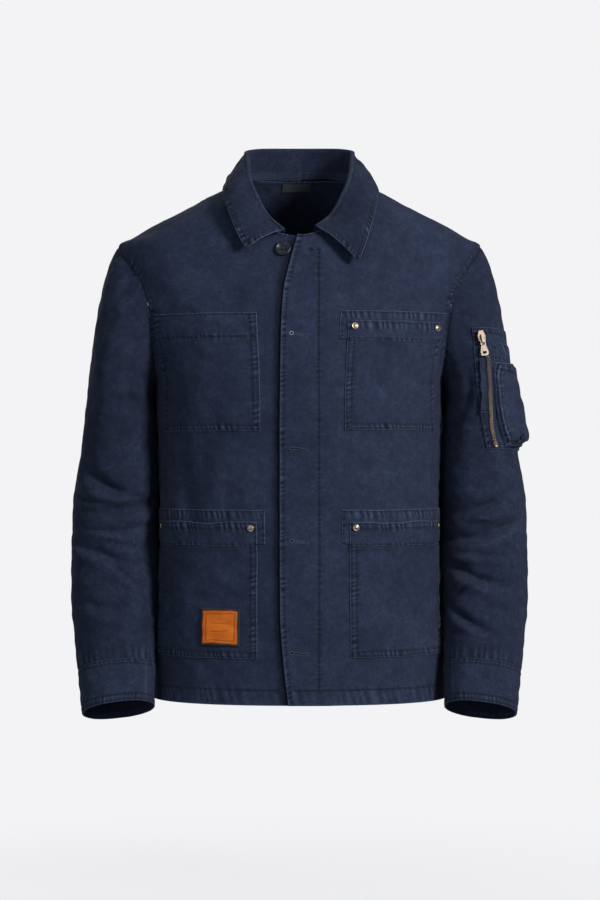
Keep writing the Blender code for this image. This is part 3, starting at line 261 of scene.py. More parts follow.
# The zip pocket, on the sleeve's flat. Each outline runs anticlockwise; _LEFT is its left edge, downwards.
PATCH_LEFT = (
    (0.1165, 0.0960), (0.1050, 0.0640), (0.0985, 0.0400), (0.0958, 0.0172), (0.1000, -0.0098),
    (0.1057, -0.0309), (0.1114, -0.0505),
)
PATCH_REST = ((0.1349, -0.0485), (0.2030, -0.0485), (0.2050, 0.0960))
ZIP_FLAP = (
    (0.1000, -0.0060), (0.1140, -0.0056), (0.1162, 0.0288), (0.1205, 0.0558), (0.1108, 0.0560), (0.1016, 0.0250),
)
ZIP_PATH = (
    (0.1262, -0.0430), (0.1227, -0.0365), (0.1196, -0.0199), (0.1180, -0.0050), (0.1178, 0.0080),
    (0.1195, 0.0288), (0.1240, 0.0568), (0.1240, 0.0780),
)
TAPE_LEFT = 0.0030
TAPE_RIGHT = 0.0050
PEN_LEFT = (
    (0.1345, 0.0545), (0.1300, 0.0480), (0.1276, 0.0400), (0.1275, 0.0047), (0.1316, -0.0168),
    (0.1386, -0.0344), (0.1438, -0.0450),
)
PEN_REST = ((0.1880, -0.0450), (0.1935, -0.0390), (0.1935, 0.0545))
PEN_BAND = ((0.1328, 0.0575), (0.1940, 0.0585), (0.1940, 0.0790), (0.1390, 0.0790))
PEN_BULGE_TOP = 0.0078
PEN_BULGE_LOW = 0.0138
PEN_LOW_FOLDS = (((0.1440, -0.0410), (0.1900, -0.0410)), ((0.1470, -0.0355), (0.1880, -0.0355)))
PEN_HOLE = (0.1600, -0.0312)
PEN_FLAT = (0.085, 0.118)  # with the cloth that its gusset folds take up
PEN_AREA = 0.0095

# The front placket's second row of stitches and its buttonholes, on the left front's flat
PLACKET_ROW = ((0.0192, -0.0990), (0.0225, -0.2890), (0.0228, -0.4700), (0.0221, -0.6560))
BUTTONHOLE_HEIGHTS = (-0.2046, -0.3493, -0.4671, -0.6088)
BUTTONHOLE_START = -0.0103
BUTTONHOLE_END = 0.0087
HEM_TURN = 0.0195
LEAST_SHEET = 0.0101  # the least side of a sheet's flat size


# ---------------------------------------------------------------- settings


def length_setting(name, description, default):
    return bpy.props.FloatProperty(name=name, description=description, default=default, unit="LENGTH")


def power_setting(name, description, default):
    return bpy.props.FloatProperty(name=name, description=description, default=default, unit="POWER")


def colour_setting(name, description, default):
    return bpy.props.FloatVectorProperty(name=name, description=description, default=default, subtype="COLOR")


class JacketSizes(bpy.types.PropertyGroup):
    """Sizes of the cloth's fine relief and its stitches."""

    edge_round: length_setting("Edge rounding", "Radius of a turned cloth edge", 0.0008)
    pucker_height: length_setting("Pucker height", "How high the cloth ripples along a seam", 0.00075)
    pucker_length: length_setting("Pucker length", "From one ripple to the next along a seam", 0.0066)
    crumple_height: length_setting("Crumple", "How far the washed cloth is off its smooth drape", 0.0009)
    stitch_pitch: length_setting("Stitch pitch", "From one stitch to the next", 0.0031)
    stitch_length: length_setting("Stitch length", "Thread that shows of each stitch", 0.0024)
    thread_radius: length_setting("Thread radius", "Half the thickness of the sewing thread", 0.00042)
    fine: length_setting("Fine spacing", "Between mesh points along seams", 0.0017)
    coarse: length_setting("Wide spacing", "Between mesh points inside a panel", 0.0046)


class JacketColours(bpy.types.PropertyGroup):
    """Colours of the cloth, thread, leather and metal."""

    navy: colour_setting("Navy", "Garment-dyed twill", (0.0212, 0.0302, 0.0640))
    faded: colour_setting("Faded navy", "Twill where washing wore the dye off", (0.070, 0.094, 0.160))
    # Deep navy takes the darker clouds, and is also the colour of the painted shade in pucker hollows, in stitch-row
    # grooves and beside the left front's lap
    deep: colour_setting("Deep navy", "Twill where the dye stayed, as in seams", (0.0060, 0.0090, 0.0200))
    thread: colour_setting("Thread", "Sewing thread, dyed with the cloth", (0.0080, 0.0115, 0.0240))
    tape: colour_setting("Tape", "Neck tape and zip tape", (0.020, 0.029, 0.056))
    label: colour_setting("Label", "The plain label inside the neck", (0.060, 0.065, 0.078))
    leather: colour_setting("Leather", "Tan patch leather", (0.78, 0.185, 0.012))
    binding: colour_setting("Binding", "Dark border of the leather patch", (0.010, 0.011, 0.017))
    button: colour_setting("Button", "Dark navy button", (0.005, 0.006, 0.011))
    brass: colour_setting("Brass", "Aged brass of the rivets", (0.49, 0.41, 0.30))
    zip_teeth: colour_setting("Zip teeth", "Brighter brass of the zip's teeth", (0.82, 0.66, 0.42))
    zip_slider: colour_setting("Zip slider", "Tarnished brass of the zip's slider and pull", (0.40, 0.335, 0.27))


class StudioSettings(bpy.types.PropertyGroup):
    """The studio round the jacket."""

    floor_height: length_setting("Floor height", "Height of the floor", -0.960)
    backdrop: colour_setting("Backdrop", "Pale colour behind the jacket", (0.896, 0.896, 0.913))
    key: power_setting("Key light", "Power of the large soft key", 92.0)
    fill: power_setting("Fill light", "Power of the fill", 13.0)
    rim: power_setting("Back light", "Power of the light behind", 16.0)


def sizes():
    return bpy.context.scene.jacket_sizes


def colours():
    return bpy.context.scene.jacket_colours


# ---------------------------------------------------------------- flat maths


def unit(v):
    return v / np.maximum(np.linalg.norm(v, axis=-1, keepdims=True), 1e-12)


def dot(a, b):
    return (a * b).sum(-1, keepdims=True)


def bell(x):
    return np.exp(-(x**2))


def ease(start, end, at):
    """0 before start, 1 after end, smooth between."""
    t = np.clip((np.asarray(at, float) - start) / (end - start), 0, 1)
    return t * t * (3 - 2 * t)


def column(table, at, name, key="height"):
    """A column of a table at places between its rows, by a smooth curve through the rows."""
    keys = np.array([getattr(row, key) for row in table])
    values = np.array([getattr(row, name) for row in table])
    at = np.asarray(at, float)
    rise = np.diff(values) / np.diff(keys)
    slopes = np.concatenate([rise[:1], np.zeros(len(keys) - 2), rise[-1:]])
    same = rise[:-1] * rise[1:] > 0
    middle = 2 * rise[:-1] * rise[1:] / np.where(same, rise[:-1] + rise[1:], 1)
    slopes[1:-1] = np.where(same, middle, 0)
    i = np.clip(np.searchsorted(keys, at, side="right") - 1, 0, len(keys) - 2)
    span = keys[i + 1] - keys[i]
    t = (at - keys[i]) / span
    u = np.clip(t, 0, 1)
    u2, u3 = u * u, u * u * u
    inside = (
        (2 * u3 - 3 * u2 + 1) * values[i]
        + (u3 - 2 * u2 + u) * span * slopes[i]
        + (3 * u2 - 2 * u3) * values[i + 1]
        + (u3 - u2) * span * slopes[i + 1]
    )
    return inside + (t - u) * span * np.where(t > 1, slopes[i + 1], slopes[i])


def waves(at, length, seed, count=14):
    """A smooth random field of about unit size, made of waves of about one length."""
    rng = np.random.default_rng(seed)
    total = 0.0
    for _ in range(count):
        way = unit(rng.normal(size=at.shape[-1])) * 2 * math.pi / (length * rng.uniform(0.7, 1.5))
        total = total + np.sin(at @ way + rng.uniform(0, 2 * math.pi))
    return total / math.sqrt(count / 2)


def creases(table, across, height):
    """Soft hollows (below 0) and ridges, each leaning its own way."""
    out = 0.0
    for c in table:
        lean = math.radians(c.lean)
        x, z = across - c.across, height - c.height
        along = x * math.sin(lean) + z * math.cos(lean)
        aside = x * math.cos(lean) - z * math.sin(lean)
        out = out + c.depth * np.exp(-((along / c.length) ** 2) - (aside / c.width) ** 2)
    return out


def folded(table, across, height):
    """Folds: each a narrow hollow with a rounder ridge along its lower side."""
    out = 0.0
    for c in table:
        lean = math.radians(c.lean)
        x, z = across - c.across, height - c.height
        along = x * math.sin(lean) + z * math.cos(lean)
        u = (x * math.cos(lean) - z * math.sin(lean) + 0.12 * along * along / c.length) / c.width
        shape = bell(u / 0.62) - 0.55 * bell((u - 1.25) / 0.80)
        out = out + 1.6 * c.depth * bell(along / c.length) * shape
    return out


def resample(line, step):
    """The same polyline with points about a step apart, its own corners kept."""
    line = np.asarray(line, float)
    parts = []
    for a, b in zip(line[:-1], line[1:]):
        count = max(1, round(float(np.linalg.norm(b - a)) / step))
        parts.append(a + (b - a) * np.arange(count)[:, None] / count)
    return np.vstack(parts + [line[-1:]])


def from_line(points, line):
    """How far each flat point is from a polyline, and how far along it its nearest place is."""
    line = np.asarray(line, float)
    a, ab = line[:-1], np.diff(line, axis=0)
    square = np.maximum((ab**2).sum(1), 1e-18)
    before = np.concatenate([[0], np.cumsum(np.sqrt(square))[:-1]])
    far, along = np.empty(len(points)), np.empty(len(points))
    for start in range(0, len(points), 4000):
        p = points[start : start + 4000]
        ap = p[:, None] - a
        t = np.clip((ap * ab).sum(2) / square, 0, 1)
        gap = ((ap - t[..., None] * ab) ** 2).sum(2)
        k = gap.argmin(1)
        rows = np.arange(len(p))
        far[start : start + 4000] = np.sqrt(gap[rows, k])
        along[start : start + 4000] = before[k] + t[rows, k] * np.sqrt(square[k])
    return far, along


def run_along(line):
    """How far along a line each of its points is."""
    return np.concatenate([[0], np.cumsum(np.linalg.norm(np.diff(line, axis=0), axis=1))])


def inside(points, outline):
    """Which flat points are inside a closed outline."""
    x, z = points[:, 0], points[:, 1]
    found = np.zeros(len(points), bool)
    for (ax, az), (bx, bz) in zip(outline, np.roll(outline, -1, axis=0)):
        if az == bz:
            continue
        found ^= ((az > z) != (bz > z)) & (x < ax + (z - az) * (bx - ax) / (bz - az))
    return found


def inset(line, by, closed=False):
    """A polyline moved to its left side by a distance, with mitred corners."""
    line = np.asarray(line, float)
    way = unit(np.diff(np.vstack([line, line[:1]]) if closed else line, axis=0))
    side = np.stack([-way[:, 1], way[:, 0]], 1)
    if closed:
        before, after = np.roll(side, 1, axis=0), side
    else:
        before, after = np.vstack([side[:1], side]), np.vstack([side, side[-1:]])
    middle = unit(before + after)
    return line + middle * by / np.maximum((middle * after).sum(1, keepdims=True), 0.35)


# ---------------------------------------------------------------- the body form


def girth(height):
    """How much cloth a turn of one radian takes at a height."""
    return 0.54 * (column(BODY_LEVELS, height, "half_width") + column(BODY_LEVELS, height, "front"))


def boxy(turn):
    """The sine and cosine of a turn on a rounded box of half width 1."""
    s, c = np.sin(turn), np.cos(turn)
    reach = (np.abs(s) ** ROUNDNESS + np.abs(c) ** ROUNDNESS) ** (-1 / ROUNDNESS)
    return s, c, reach


def form(turn, height):
    """The body form: turn 0 is the front's middle, pi/2 the wearer's left side."""
    s, c, reach = boxy(turn)
    front, back = column(BODY_LEVELS, height, "front"), column(BODY_LEVELS, height, "back")
    depth = np.where(c > 0, front, back)
    half = column(BODY_LEVELS, height, "half_width")
    return np.stack([half * reach * s, -depth * reach * c, height + 0 * turn], -1)


def crumple(place):
    """The small dents of washed cloth, as a height at places in space."""

    def dents(at):
        return 0.75 * waves(at, 0.085, 3) + 0.50 * waves(at, 0.038, 5) + 0.22 * waves(at, 0.017, 8)

    far = np.abs(place[..., :1])
    mirrored = np.concatenate([far, place[..., 1:]], -1)
    share = ease(0.10, 0.17, far[..., 0])  # the two armholes match, because one sleeve mirrors the other
    return sizes().crumple_height * ((1 - share) * dents(place) + share * dents(mirrored))


def on_form(across, height, lift=None):
    across, height = np.broadcast_arrays(np.asarray(across, float), np.asarray(height, float))
    turn, step = across / girth(height), FORM_STEP
    point = form(turn, height)
    out = unit(
        np.cross(
            form(turn + step, height) - form(turn - step, height),
            form(turn, height + step) - form(turn, height - step),
        )
    )
    along = np.where(turn > math.pi, across - 2 * math.pi * girth(height), across)
    away = (creases(BODY_CREASES, along, height) + crumple(point)) * ease(0.0, 0.05, height - HEM)
    if lift:
        away = away + lift(point[..., 0])
    return point + out * away[..., None]


def way_out(place, across, height, step=0.0015):
    """The outward direction of a surface at flat places."""
    return unit(
        np.cross(
            place(across + step, height) - place(across - step, height),
            place(across, height + step) - place(across, height - step),
        )
    )


def turn_where(test, low, high):
    """The turns between low and high at which a rising test passes zero."""
    for _ in range(44):
        middle = (low + high) / 2
        under = test(middle) < 0
        low, high = np.where(under, middle, low), np.where(under, high, middle)
    return (low + high) / 2


def across_at(x, height):
    x, height = np.broadcast_arrays(np.asarray(x, float), np.asarray(height, float))
    turn = turn_where(lambda t: form(t, height)[..., 0] - x, x * 0 - math.pi / 2, x * 0 + math.pi / 2)
    return turn * girth(height)


def armhole(angle, back=False):
    """Flat places on the armhole: angle 0 is the armpit and pi the shoulder tip."""
    depth = ARMHOLE_HALF_DEPTH * np.sin(angle)
    height = ARMHOLE_MIDDLE - ARMHOLE_HALF_HEIGHT * np.cos(angle)
    if back:
        turn = turn_where(lambda t: form(t, height)[..., 1] - depth, 0 * angle + math.pi / 2, 0 * angle + math.pi)
    else:
        turn = turn_where(lambda t: form(t, height)[..., 1] + depth, 0 * angle, 0 * angle + math.pi / 2)
    return turn * girth(height), height


def neckline(angle, back=False):
    """Flat places on the neckline: angle 0 is the middle and pi/2 the shoulder seam."""
    height = (NECK_BACK if back else NECK_FRONT) * np.cos(angle)
    x = NECK_HALF_WIDTH * np.sin(angle)
    if back:
        turn = turn_where(lambda t: x - form(t, height)[..., 0], 0 * angle + math.pi / 2, 0 * angle + math.pi)
        return turn * girth(height), height
    return across_at(x, height), height


def front_lift(x):
    return LAP_LIFT * (1 - ease(0.030, 0.058, x))


def side_line(back=False):
    """Up the side seam, then round the armhole to the shoulder tip."""
    gap = SEAM_GAP / 2 * (1 if back else -1)
    heights = np.linspace(HEM, ARMPIT, 120)
    side = np.stack([math.pi / 2 * girth(heights) + gap, heights], 1)
    hole = np.stack(armhole(np.linspace(0, math.pi, 110), back), 1)
    hole[-1, 0] += gap
    return side, np.vstack([side[-1:], hole[1:]])


def top_line(lap_x=None):
    """The shoulder seam inward, and the neckline to the middle or to a front's own edge."""
    back = lap_x is None
    gap = SEAM_GAP / 2 * (1 if back else -1)
    heights = np.linspace(SHOULDER_TIP, 0, 90)
    shoulder = np.stack([math.pi / 2 * girth(heights) + gap, heights], 1)
    end = 0.0 if back else math.asin(lap_x / NECK_HALF_WIDTH)
    neck = np.stack(neckline(np.linspace(math.pi / 2, end, 80), back), 1)
    neck[0] = shoulder[-1]
    return shoulder, neck


# ---------------------------------------------------------------- pieces of cloth


def sewn(far, ripple, reach, rows, pucker, edge=1.0):
    """(height, colour shift) near a sewn line: ripples worn pale on their crests and given painted shade in their
    hollows, each row of stitches sunk with painted shade in its groove, and the edge worn pale.
    """
    middle = reach * 0.55 if edge else 0.0
    window = bell((far - middle) / max(0.0032, reach * 0.62)) * pucker
    high = sizes().pucker_height * ripple * window
    # crests worn pale, hollows darkened as painted shade
    fade = (0.65 * np.maximum(ripple, 0) - 0.55 * np.maximum(-ripple, 0)) * window
    for row in rows:
        sunk = bell((far - row) / 0.0009)
        # painted shade in the sunk groove of each row
        high, fade = high - ROW_SINK * sunk, fade - 0.70 * sunk
    if edge:
        fade = fade + edge * (0.85 * bell(far / 0.0010) + 0.12 * np.exp(-far / 0.006))
    return high, fade


class Seam:
    """A line on the flat that is sewn: its rows of stitches, its turned width, and its puckers."""

    def __init__(self, line, rows=(), turned=0.0, pucker=1.0, length=1.0, edge=1.0, reach=None, deep=0.0):
        self.line, self.rows, self.turned = resample(line, 0.004), rows, turned
        self.pucker, self.length, self.edge = pucker, length, edge
        self.reach, self.deep = reach or (max(rows) if rows else 0.004), deep

    def ripple(self, along):
        """The puckers' shape along the seam, between about -1 and 1."""
        one = sizes().pucker_length * self.length
        start = 31.7 * float(self.line[0] @ (1.0, 2.3))
        swing = lambda length, shift: np.sin(along * 2 * math.pi / length + shift)
        sway = 1.9 * swing(7.3 * one, start) + 1.1 * swing(3.1 * one, 2 * start)
        return swing(one, sway) * (0.62 + 0.38 * swing(9.7 * one, 3 * start))

    def relief(self, points):
        """(height, fade) that this seam gives to flat points."""
        far, along = from_line(points, self.line)
        high, fade = np.zeros(len(points)), np.zeros(len(points))
        near = far < self.reach + 0.02
        d, s = far[near], along[near]
        ripple = self.ripple(s + 0.25 * d)
        # worn is the seam's pale wear together with its painted shade
        rise, worn = sewn(d, ripple, self.reach, self.rows, self.pucker, self.edge)
        if self.turned:
            rise = rise + TURNED_THICK * (1 - ease(self.turned - 0.0004, self.turned + 0.0010, d))
        # deep darkens a band along the line: painted shade
        high[near], fade[near] = rise, worn - self.deep * bell(d / self.reach)
        return high, fade


class Layer:
    """A layer of cloth on a surface: place(across, height) gives points in space, and low how far above."""

    def __init__(self, place, low=0.0, thick=CLOTH, seams=(), rounding=None, folds=None):
        self.place, self.thick, self.seams, self.folds = place, thick, list(seams), folds
        self.low = low if callable(low) else (lambda a, h: low + 0 * a)
        self.rounding = sizes().edge_round if rounding is None else rounding

    def relief(self, flat):
        high, fade = np.zeros(len(flat)), np.zeros(len(flat))
        for seam in self.seams:
            # worn carries the seams' wear and painted shade together
            more, worn = seam.relief(flat)
            high, fade = high + more, fade + worn
        if self.folds:
            high = high + self.folds(flat[:, 0], flat[:, 1])
        return high, fade

    def points(self, flat, outline=None):
        """(inner points, outer points, way out, fade) of flat places."""
        a, h = flat[:, 0], flat[:, 1]
        base, out = self.place(a, h), way_out(self.place, a, h)
        high, fade = self.relief(flat)
        low = self.low(a, h)
        top = low + self.thick + high
        if outline is not None:
            far, _ = from_line(flat, outline)
            r = self.rounding
            top = top - (r - np.sqrt(np.maximum(r * r - np.maximum(r - far, 0) ** 2, 0)))
        return base + out * low[:, None], base + out * top[:, None], out, fade

    def line_on(self, line, step=0.0008):
        """A flat line on the layer's outer face: its points and ways out."""
        line = resample(line, step)
        _, outer, out, _ = self.points(line)
        return outer, out


RINGS = (0.0004, 0.0010, 0.0018, 0.0028, 0.0046, 0.0066, 0.0080, 0.0092)


def fill(outline, rows=(), fine=None, coarse=None, rings=RINGS):
    """Flat points and triangles that fill a closed outline, close along its edge and along some rows."""
    fine, coarse = fine or sizes().fine, coarse or sizes().coarse
    outline = resample(np.vstack([outline, outline[:1]]), fine)[:-1]
    closed = np.vstack([outline, outline[:1]])
    parts = [outline]
    for by in rings:
        ring = inset(resample(closed, max(fine, by * 0.25))[:-1], by, closed=True)
        ring = ring[inside(ring, outline)]
        parts.append(ring[from_line(ring, closed)[0] > by * 0.97])
    edge = rings[-1]
    for row in rows:
        for by in (-0.0034, -0.0017, 0, 0.0017, 0.0034):
            line = inset(resample(row, fine), by)
            line = line[inside(line, outline)]
            if len(line):
                far, _ = from_line(line, closed)
                parts.append(line[far > edge + 0.4 * fine])
    low, high = outline.min(0), outline.max(0)
    rise = coarse * math.sqrt(3) / 2
    heights = np.arange(low[1], high[1], rise)
    lattice = []
    for k, height in enumerate(heights):
        across = np.arange(low[0] + (k % 2) * coarse / 2, high[0], coarse)
        lattice.append(np.stack([across, 0 * across + height], 1))
    lattice = np.vstack(lattice)
    lattice = lattice[inside(lattice, outline)]
    if len(lattice):
        far, _ = from_line(lattice, closed)
        lattice = lattice[far > edge + 0.55 * coarse]
    for row in rows:
        if len(lattice):
            far, _ = from_line(lattice, row)
            lattice = lattice[far > 0.0034 + 0.5 * coarse]
    parts.append(lattice)
    flat = np.vstack([p for p in parts if len(p)])
    count = len(outline)
    keys = np.round(flat / (0.30 * fine)).astype(np.int64)
    keys[:count] = np.stack([np.arange(count), np.full(count, 10**7)], 1)
    _, first = np.unique(keys, axis=0, return_index=True)
    flat = flat[np.sort(first)]
    points, _, faces, *_ = delaunay_2d_cdt([Vector(p) for p in flat.tolist()], [], [list(range(count))], 1, 1e-7)
    return np.array([tuple(p) for p in points]), np.array([f for f in faces if len(f) == 3])


def rim_edges(triangles):
    """The directed edges that only one triangle has."""
    edges = np.vstack([triangles[:, [0, 1]], triangles[:, [1, 2]], triangles[:, [2, 0]]])
    keys = np.sort(edges, axis=1)
    _, index, counts = np.unique(keys, axis=0, return_inverse=True, return_counts=True)
    return edges[counts[index.reshape(-1)] == 1]


def new_mesh(name, points, triangles, material, uv=None, fade=None, smooth=True, sharp=50.0):
    """A mesh object of triangles, with its flat places as a UV map in metres."""
    data = bpy.data.meshes.new(name)
    data.vertices.add(len(points))
    data.vertices.foreach_set("co", np.ascontiguousarray(points, np.float32).ravel())
    data.loops.add(len(triangles) * 3)
    data.loops.foreach_set("vertex_index", np.ascontiguousarray(triangles, np.int32).ravel())
    data.polygons.add(len(triangles))
    data.polygons.foreach_set("loop_start", np.arange(0, len(triangles) * 3, 3, dtype=np.int32))
    data.polygons.foreach_set("loop_total", np.full(len(triangles), 3, np.int32))
    if uv is not None:
        layer = data.uv_layers.new(name="cut")
        layer.data.foreach_set("uv", np.ascontiguousarray(uv[triangles.ravel()], np.float32).ravel())
    if fade is not None:
        made = data.attributes.new("fade", "FLOAT", "POINT")
        made.data.foreach_set("value", np.ascontiguousarray(fade, np.float32))
    data.update(calc_edges=True)
    data.validate()
    if smooth:
        data.shade_smooth()
        if sharp:
            data.set_sharp_from_angle(angle=math.radians(sharp))
    data.materials.append(material)
    made = bpy.data.objects.new(name, data)
    collection().objects.link(made)
    return made


def collection():
    if "jacket" not in bpy.data.collections:
        bpy.context.scene.collection.children.link(bpy.data.collections.new("jacket"))
    return bpy.data.collections["jacket"]


def walled(name, flat, triangles, inner, outer, material, fade=None, weld=0):
    """A closed wall of cloth between an inner and an outer face. weld is the points in each end column of a tube."""
    count = len(flat)
    rim = rim_edges(triangles)
    if weld:
        first, last = (rim < weld).all(1), (rim >= count - weld).all(1)
        rim = rim[~(first | last)]
    a, b = rim[:, 0], rim[:, 1]
    faces = [triangles, triangles[:, ::-1] + count]
    faces += [np.stack([a + count, b + count, b], 1), np.stack([a + count, b, a], 1)]
    triangles = np.vstack(faces)
    points = np.vstack([outer, inner])
    fade = None if fade is None else np.concatenate([fade, 0.4 * fade])
    made = new_mesh(name, points, triangles, material, np.vstack([flat, flat]), fade)
    if weld:
        work = bmesh.new()
        work.from_mesh(made.data)
        bmesh.ops.remove_doubles(work, verts=work.verts[:], dist=2e-6)
        work.to_mesh(made.data)
        work.free()
    return made


def on_jacket(piece, nodes):
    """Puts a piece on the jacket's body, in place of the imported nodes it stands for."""
    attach(piece, "jacket")
    for node in nodes.split():
        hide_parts(node)
    return piece


def settle(piece, nodes, slot, flat=None, triangles=None, held="laid", rests_on=(), size=None, area=None):
    """Puts a piece on the jacket, and works out its sheet's flat size and area, which go no further."""
    on_jacket(piece, nodes)
    if size is None:
        low, high = flat.min(0), flat.max(0)
        size = tuple(max(LEAST_SHEET, float(side)) for side in high - low)
        p = flat[triangles]
        e, f = p[:, 1] - p[:, 0], p[:, 2] - p[:, 0]
        area = float(np.abs(e[:, 0] * f[:, 1] - e[:, 1] * f[:, 0]).sum() / 2)
        area = min(area, size[0] * size[1])
    return piece


def make_cloth(name, nodes, layer, outline, material, slot="navy_twill", rows=(), spacing=None, **sheet):
    """One flat piece, filled, laid on its layer, walled and put on the jacket."""
    flat, triangles = fill(outline, rows, **(spacing or {}))
    closed = np.vstack([outline, outline[:1]])
    inner, outer, _, fade = layer.points(flat, resample(closed, 0.003))
    piece = walled(name, flat, triangles, inner, outer, material, fade)
    return settle(piece, nodes, slot, flat, triangles, **sheet)


# ---------------------------------------------------------------- stitches


def stitch_shape():
    """One stitch: a short capsule along x, as (points, triangles)."""
    sides = 6
    points = [(-0.5, 0, -0.6)]
    for x, r in ((-0.36, 0.9), (0.36, 0.9)):
        for k in range(sides):
            t = 2 * math.pi * (k + 0.5) / sides
            points.append((x, r * math.cos(t), r * math.sin(t)))
    points.append((0.5, 0, -0.6))
    faces = []
    for k in range(sides):
        n = (k + 1) % sides
        faces += [(0, 1 + n, 1 + k), (1 + k, 1 + n, 7 + n), (1 + k, 7 + n, 7 + k), (13, 7 + k, 7 + n)]
    return np.array(points), np.array(faces)


def stitch_bodies(a, b, middle, out, radius, raised=0.0):
    """A stitch from each place a to its place b, raised by a share of its radius, as points and triangles."""
    shape, faces = stitch_shape()
    way = b - a
    long = np.linalg.norm(way, axis=1, keepdims=True)
    way = way / np.maximum(long, 1e-9)
    side = unit(np.cross(out, way))
    out = np.cross(way, side)
    body = middle[:, None] + way[:, None] * shape[None, :, :1] * long[:, None]
    body = body + side[:, None] * shape[None, :, 1:2] * radius
    body = body + out[:, None] * (shape[None, :, 2:] + raised) * radius
    faces = faces[None] + len(shape) * np.arange(len(a))[:, None, None]
    return body.reshape(-1, 3), faces.reshape(-1, 3)


def purl(paths, radius):
    """One stitch for each short path, as points and triangles."""
    a, b = (np.array([points[end] for points, _ in paths]) for end in (0, -1))
    out = unit(np.array([outs.mean(0) for _, outs in paths]))
    return stitch_bodies(a, b, (a + b) / 2, out, radius)


def stitch_mesh(name, paths):
    """The sewing stitches along paths in space, each path its points and ways out."""
    pitch, length, radius = sizes().stitch_pitch, sizes().stitch_length, sizes().thread_radius
    parts = []
    for points, outs in paths:
        along = run_along(points)
        count = int((along[-1] - length) / pitch) + 1
        if count < 1:
            continue
        starts = np.arange(count) * pitch + (along[-1] - (count - 1) * pitch - length) / 2

        def at(s, table):
            return np.stack([np.interp(s, along, table[:, k]) for k in range(3)], 1)

        a, b, half = at(starts, points), at(starts + length, points), starts + length / 2
        parts.append(stitch_bodies(a, b, (a + b + 2 * at(half, points)) / 4, unit(at(half, outs)), radius, -0.10))
    return finish_solid(name, parts, thread_cloth(), sharp=None)


def seam_rows(layer, trim):
    """The stitch paths of a layer's seams, their ends trimmed."""
    paths = []
    for seam in layer.seams:
        for row in seam.rows:
            line = inset(seam.line, row) if row else seam.line
            far = run_along(line)
            line = line[(far >= trim) & (far <= far[-1] - trim)]
            if len(line) > 1:
                paths.append(layer.line_on(line))
    return paths


# ---------------------------------------------------------------- node groups and materials


def feed(tree, node, given):
    """Links or sets some inputs of a node, by name or number."""
    for socket, value in given.items():
        if isinstance(value, bpy.types.NodeSocket):
            tree.links.new(value, node.inputs[socket])
        else:
            node.inputs[socket].default_value = value


def add(tree, kind, inputs=None, **properties):
    """A node in a tree, with its properties and its inputs."""
    made = tree.nodes.new(kind)
    for key, value in properties.items():
        setattr(made, key, value)
    feed(tree, made, inputs or {})
    return made


def math_node(tree, operation, a, b, clamp=False):
    return add(tree, "ShaderNodeMath", {0: a, 1: b}, operation=operation, use_clamp=clamp).outputs[0]


def times(tree, a, b, clamp=False):
    return math_node(tree, "MULTIPLY", a, b, clamp)


def weighted(tree, *terms):
    """The sum of values, each times its share."""
    products = [times(tree, value, share) for value, share in terms]
    return functools.reduce(lambda a, b: math_node(tree, "ADD", a, b), products)


def ramp(tree, value, start, slope):
    """0 up to a start, then rising by a slope to 1."""
    return times(tree, math_node(tree, "SUBTRACT", value, start), slope, clamp=True)


def rising(tree, value, start, slope):
    """A start, plus a slope times a value."""
    return math_node(tree, "ADD", start, times(tree, value, slope))


def mix(tree, share, a, b, blend="MIX"):
    return add(tree, "ShaderNodeMix", {0: share, 6: a, 7: b}, data_type="RGBA", blend_type=blend).outputs[2]


def noise(tree, at, scale, detail, roughness=0.5, distortion=0.0):
    inputs = {"Vector": at, "Scale": scale, "Detail": detail, "Roughness": roughness, "Distortion": distortion}
    return add(tree, "ShaderNodeTexNoise", inputs).outputs[0]


def wave(tree, at, scale, distortion, detail=2.0, detail_scale=1.0, direction="X"):
    inputs = {"Vector": at, "Scale": scale, "Distortion": distortion, "Detail": detail, "Detail Scale": detail_scale}
    return add(tree, "ShaderNodeTexWave", inputs, bands_direction=direction).outputs["Fac"]


def place_on(tree):
    return add(tree, "ShaderNodeTexCoord").outputs["Object"]


def fade_and_shade_of(tree):
    """How far the dye is worn off, and below 0 how much painted shade darkens it, as each mesh says at its points."""
    return add(tree, "ShaderNodeAttribute", attribute_name="fade").outputs["Fac"]


def new_group(name, inputs, outputs):
    """An empty node group with its sockets: the tree, its input node's outputs, and its output node."""
    tree = bpy.data.node_groups.new(name, "ShaderNodeTree")
    for label, default in inputs.items():
        kind = "NodeSocketColor" if isinstance(default, tuple) else "NodeSocketFloat"
        tree.interface.new_socket(label, in_out="INPUT", socket_type=kind).default_value = default
    for label in outputs:
        kind = "NodeSocketColor" if label == "Colour" else "NodeSocketFloat"
        tree.interface.new_socket(label, in_out="OUTPUT", socket_type=kind)
    return tree, tree.nodes.new("NodeGroupInput").outputs, tree.nodes.new("NodeGroupOutput")


@functools.lru_cache(None)
def twill_group():
    """Diagonal twill lines crossed by the finer weft, on the flat of each piece."""
    tree, given, out = new_group("twill_weave", {"Pitch": 0.0009, "Angle": 1.05}, ("Height", "Yarn"))
    flat = add(tree, "ShaderNodeUVMap", uv_map="cut").outputs[0]
    scale = math_node(tree, "DIVIDE", 0.31416, given["Pitch"])
    turned = add(tree, "ShaderNodeVectorRotate", {"Vector": flat, "Angle": given["Angle"]}, rotation_type="Z_AXIS")
    lines = wave(tree, turned.outputs[0], scale, 1.1, 2.0, 1.7)
    weft = wave(tree, flat, times(tree, scale, 1.45), 0.8, 1.0, direction="Y")
    nap = noise(tree, flat, 1500.0, 3.0, 0.6)
    slub = noise(tree, flat, 620.0, 4.0, 0.7)
    height = weighted(tree, (lines, 0.62), (weft, 0.25), (nap, 0.55))
    feed(tree, out, {"Height": height, "Yarn": weighted(tree, (lines, 0.30), (slub, 1.4))})
    return tree


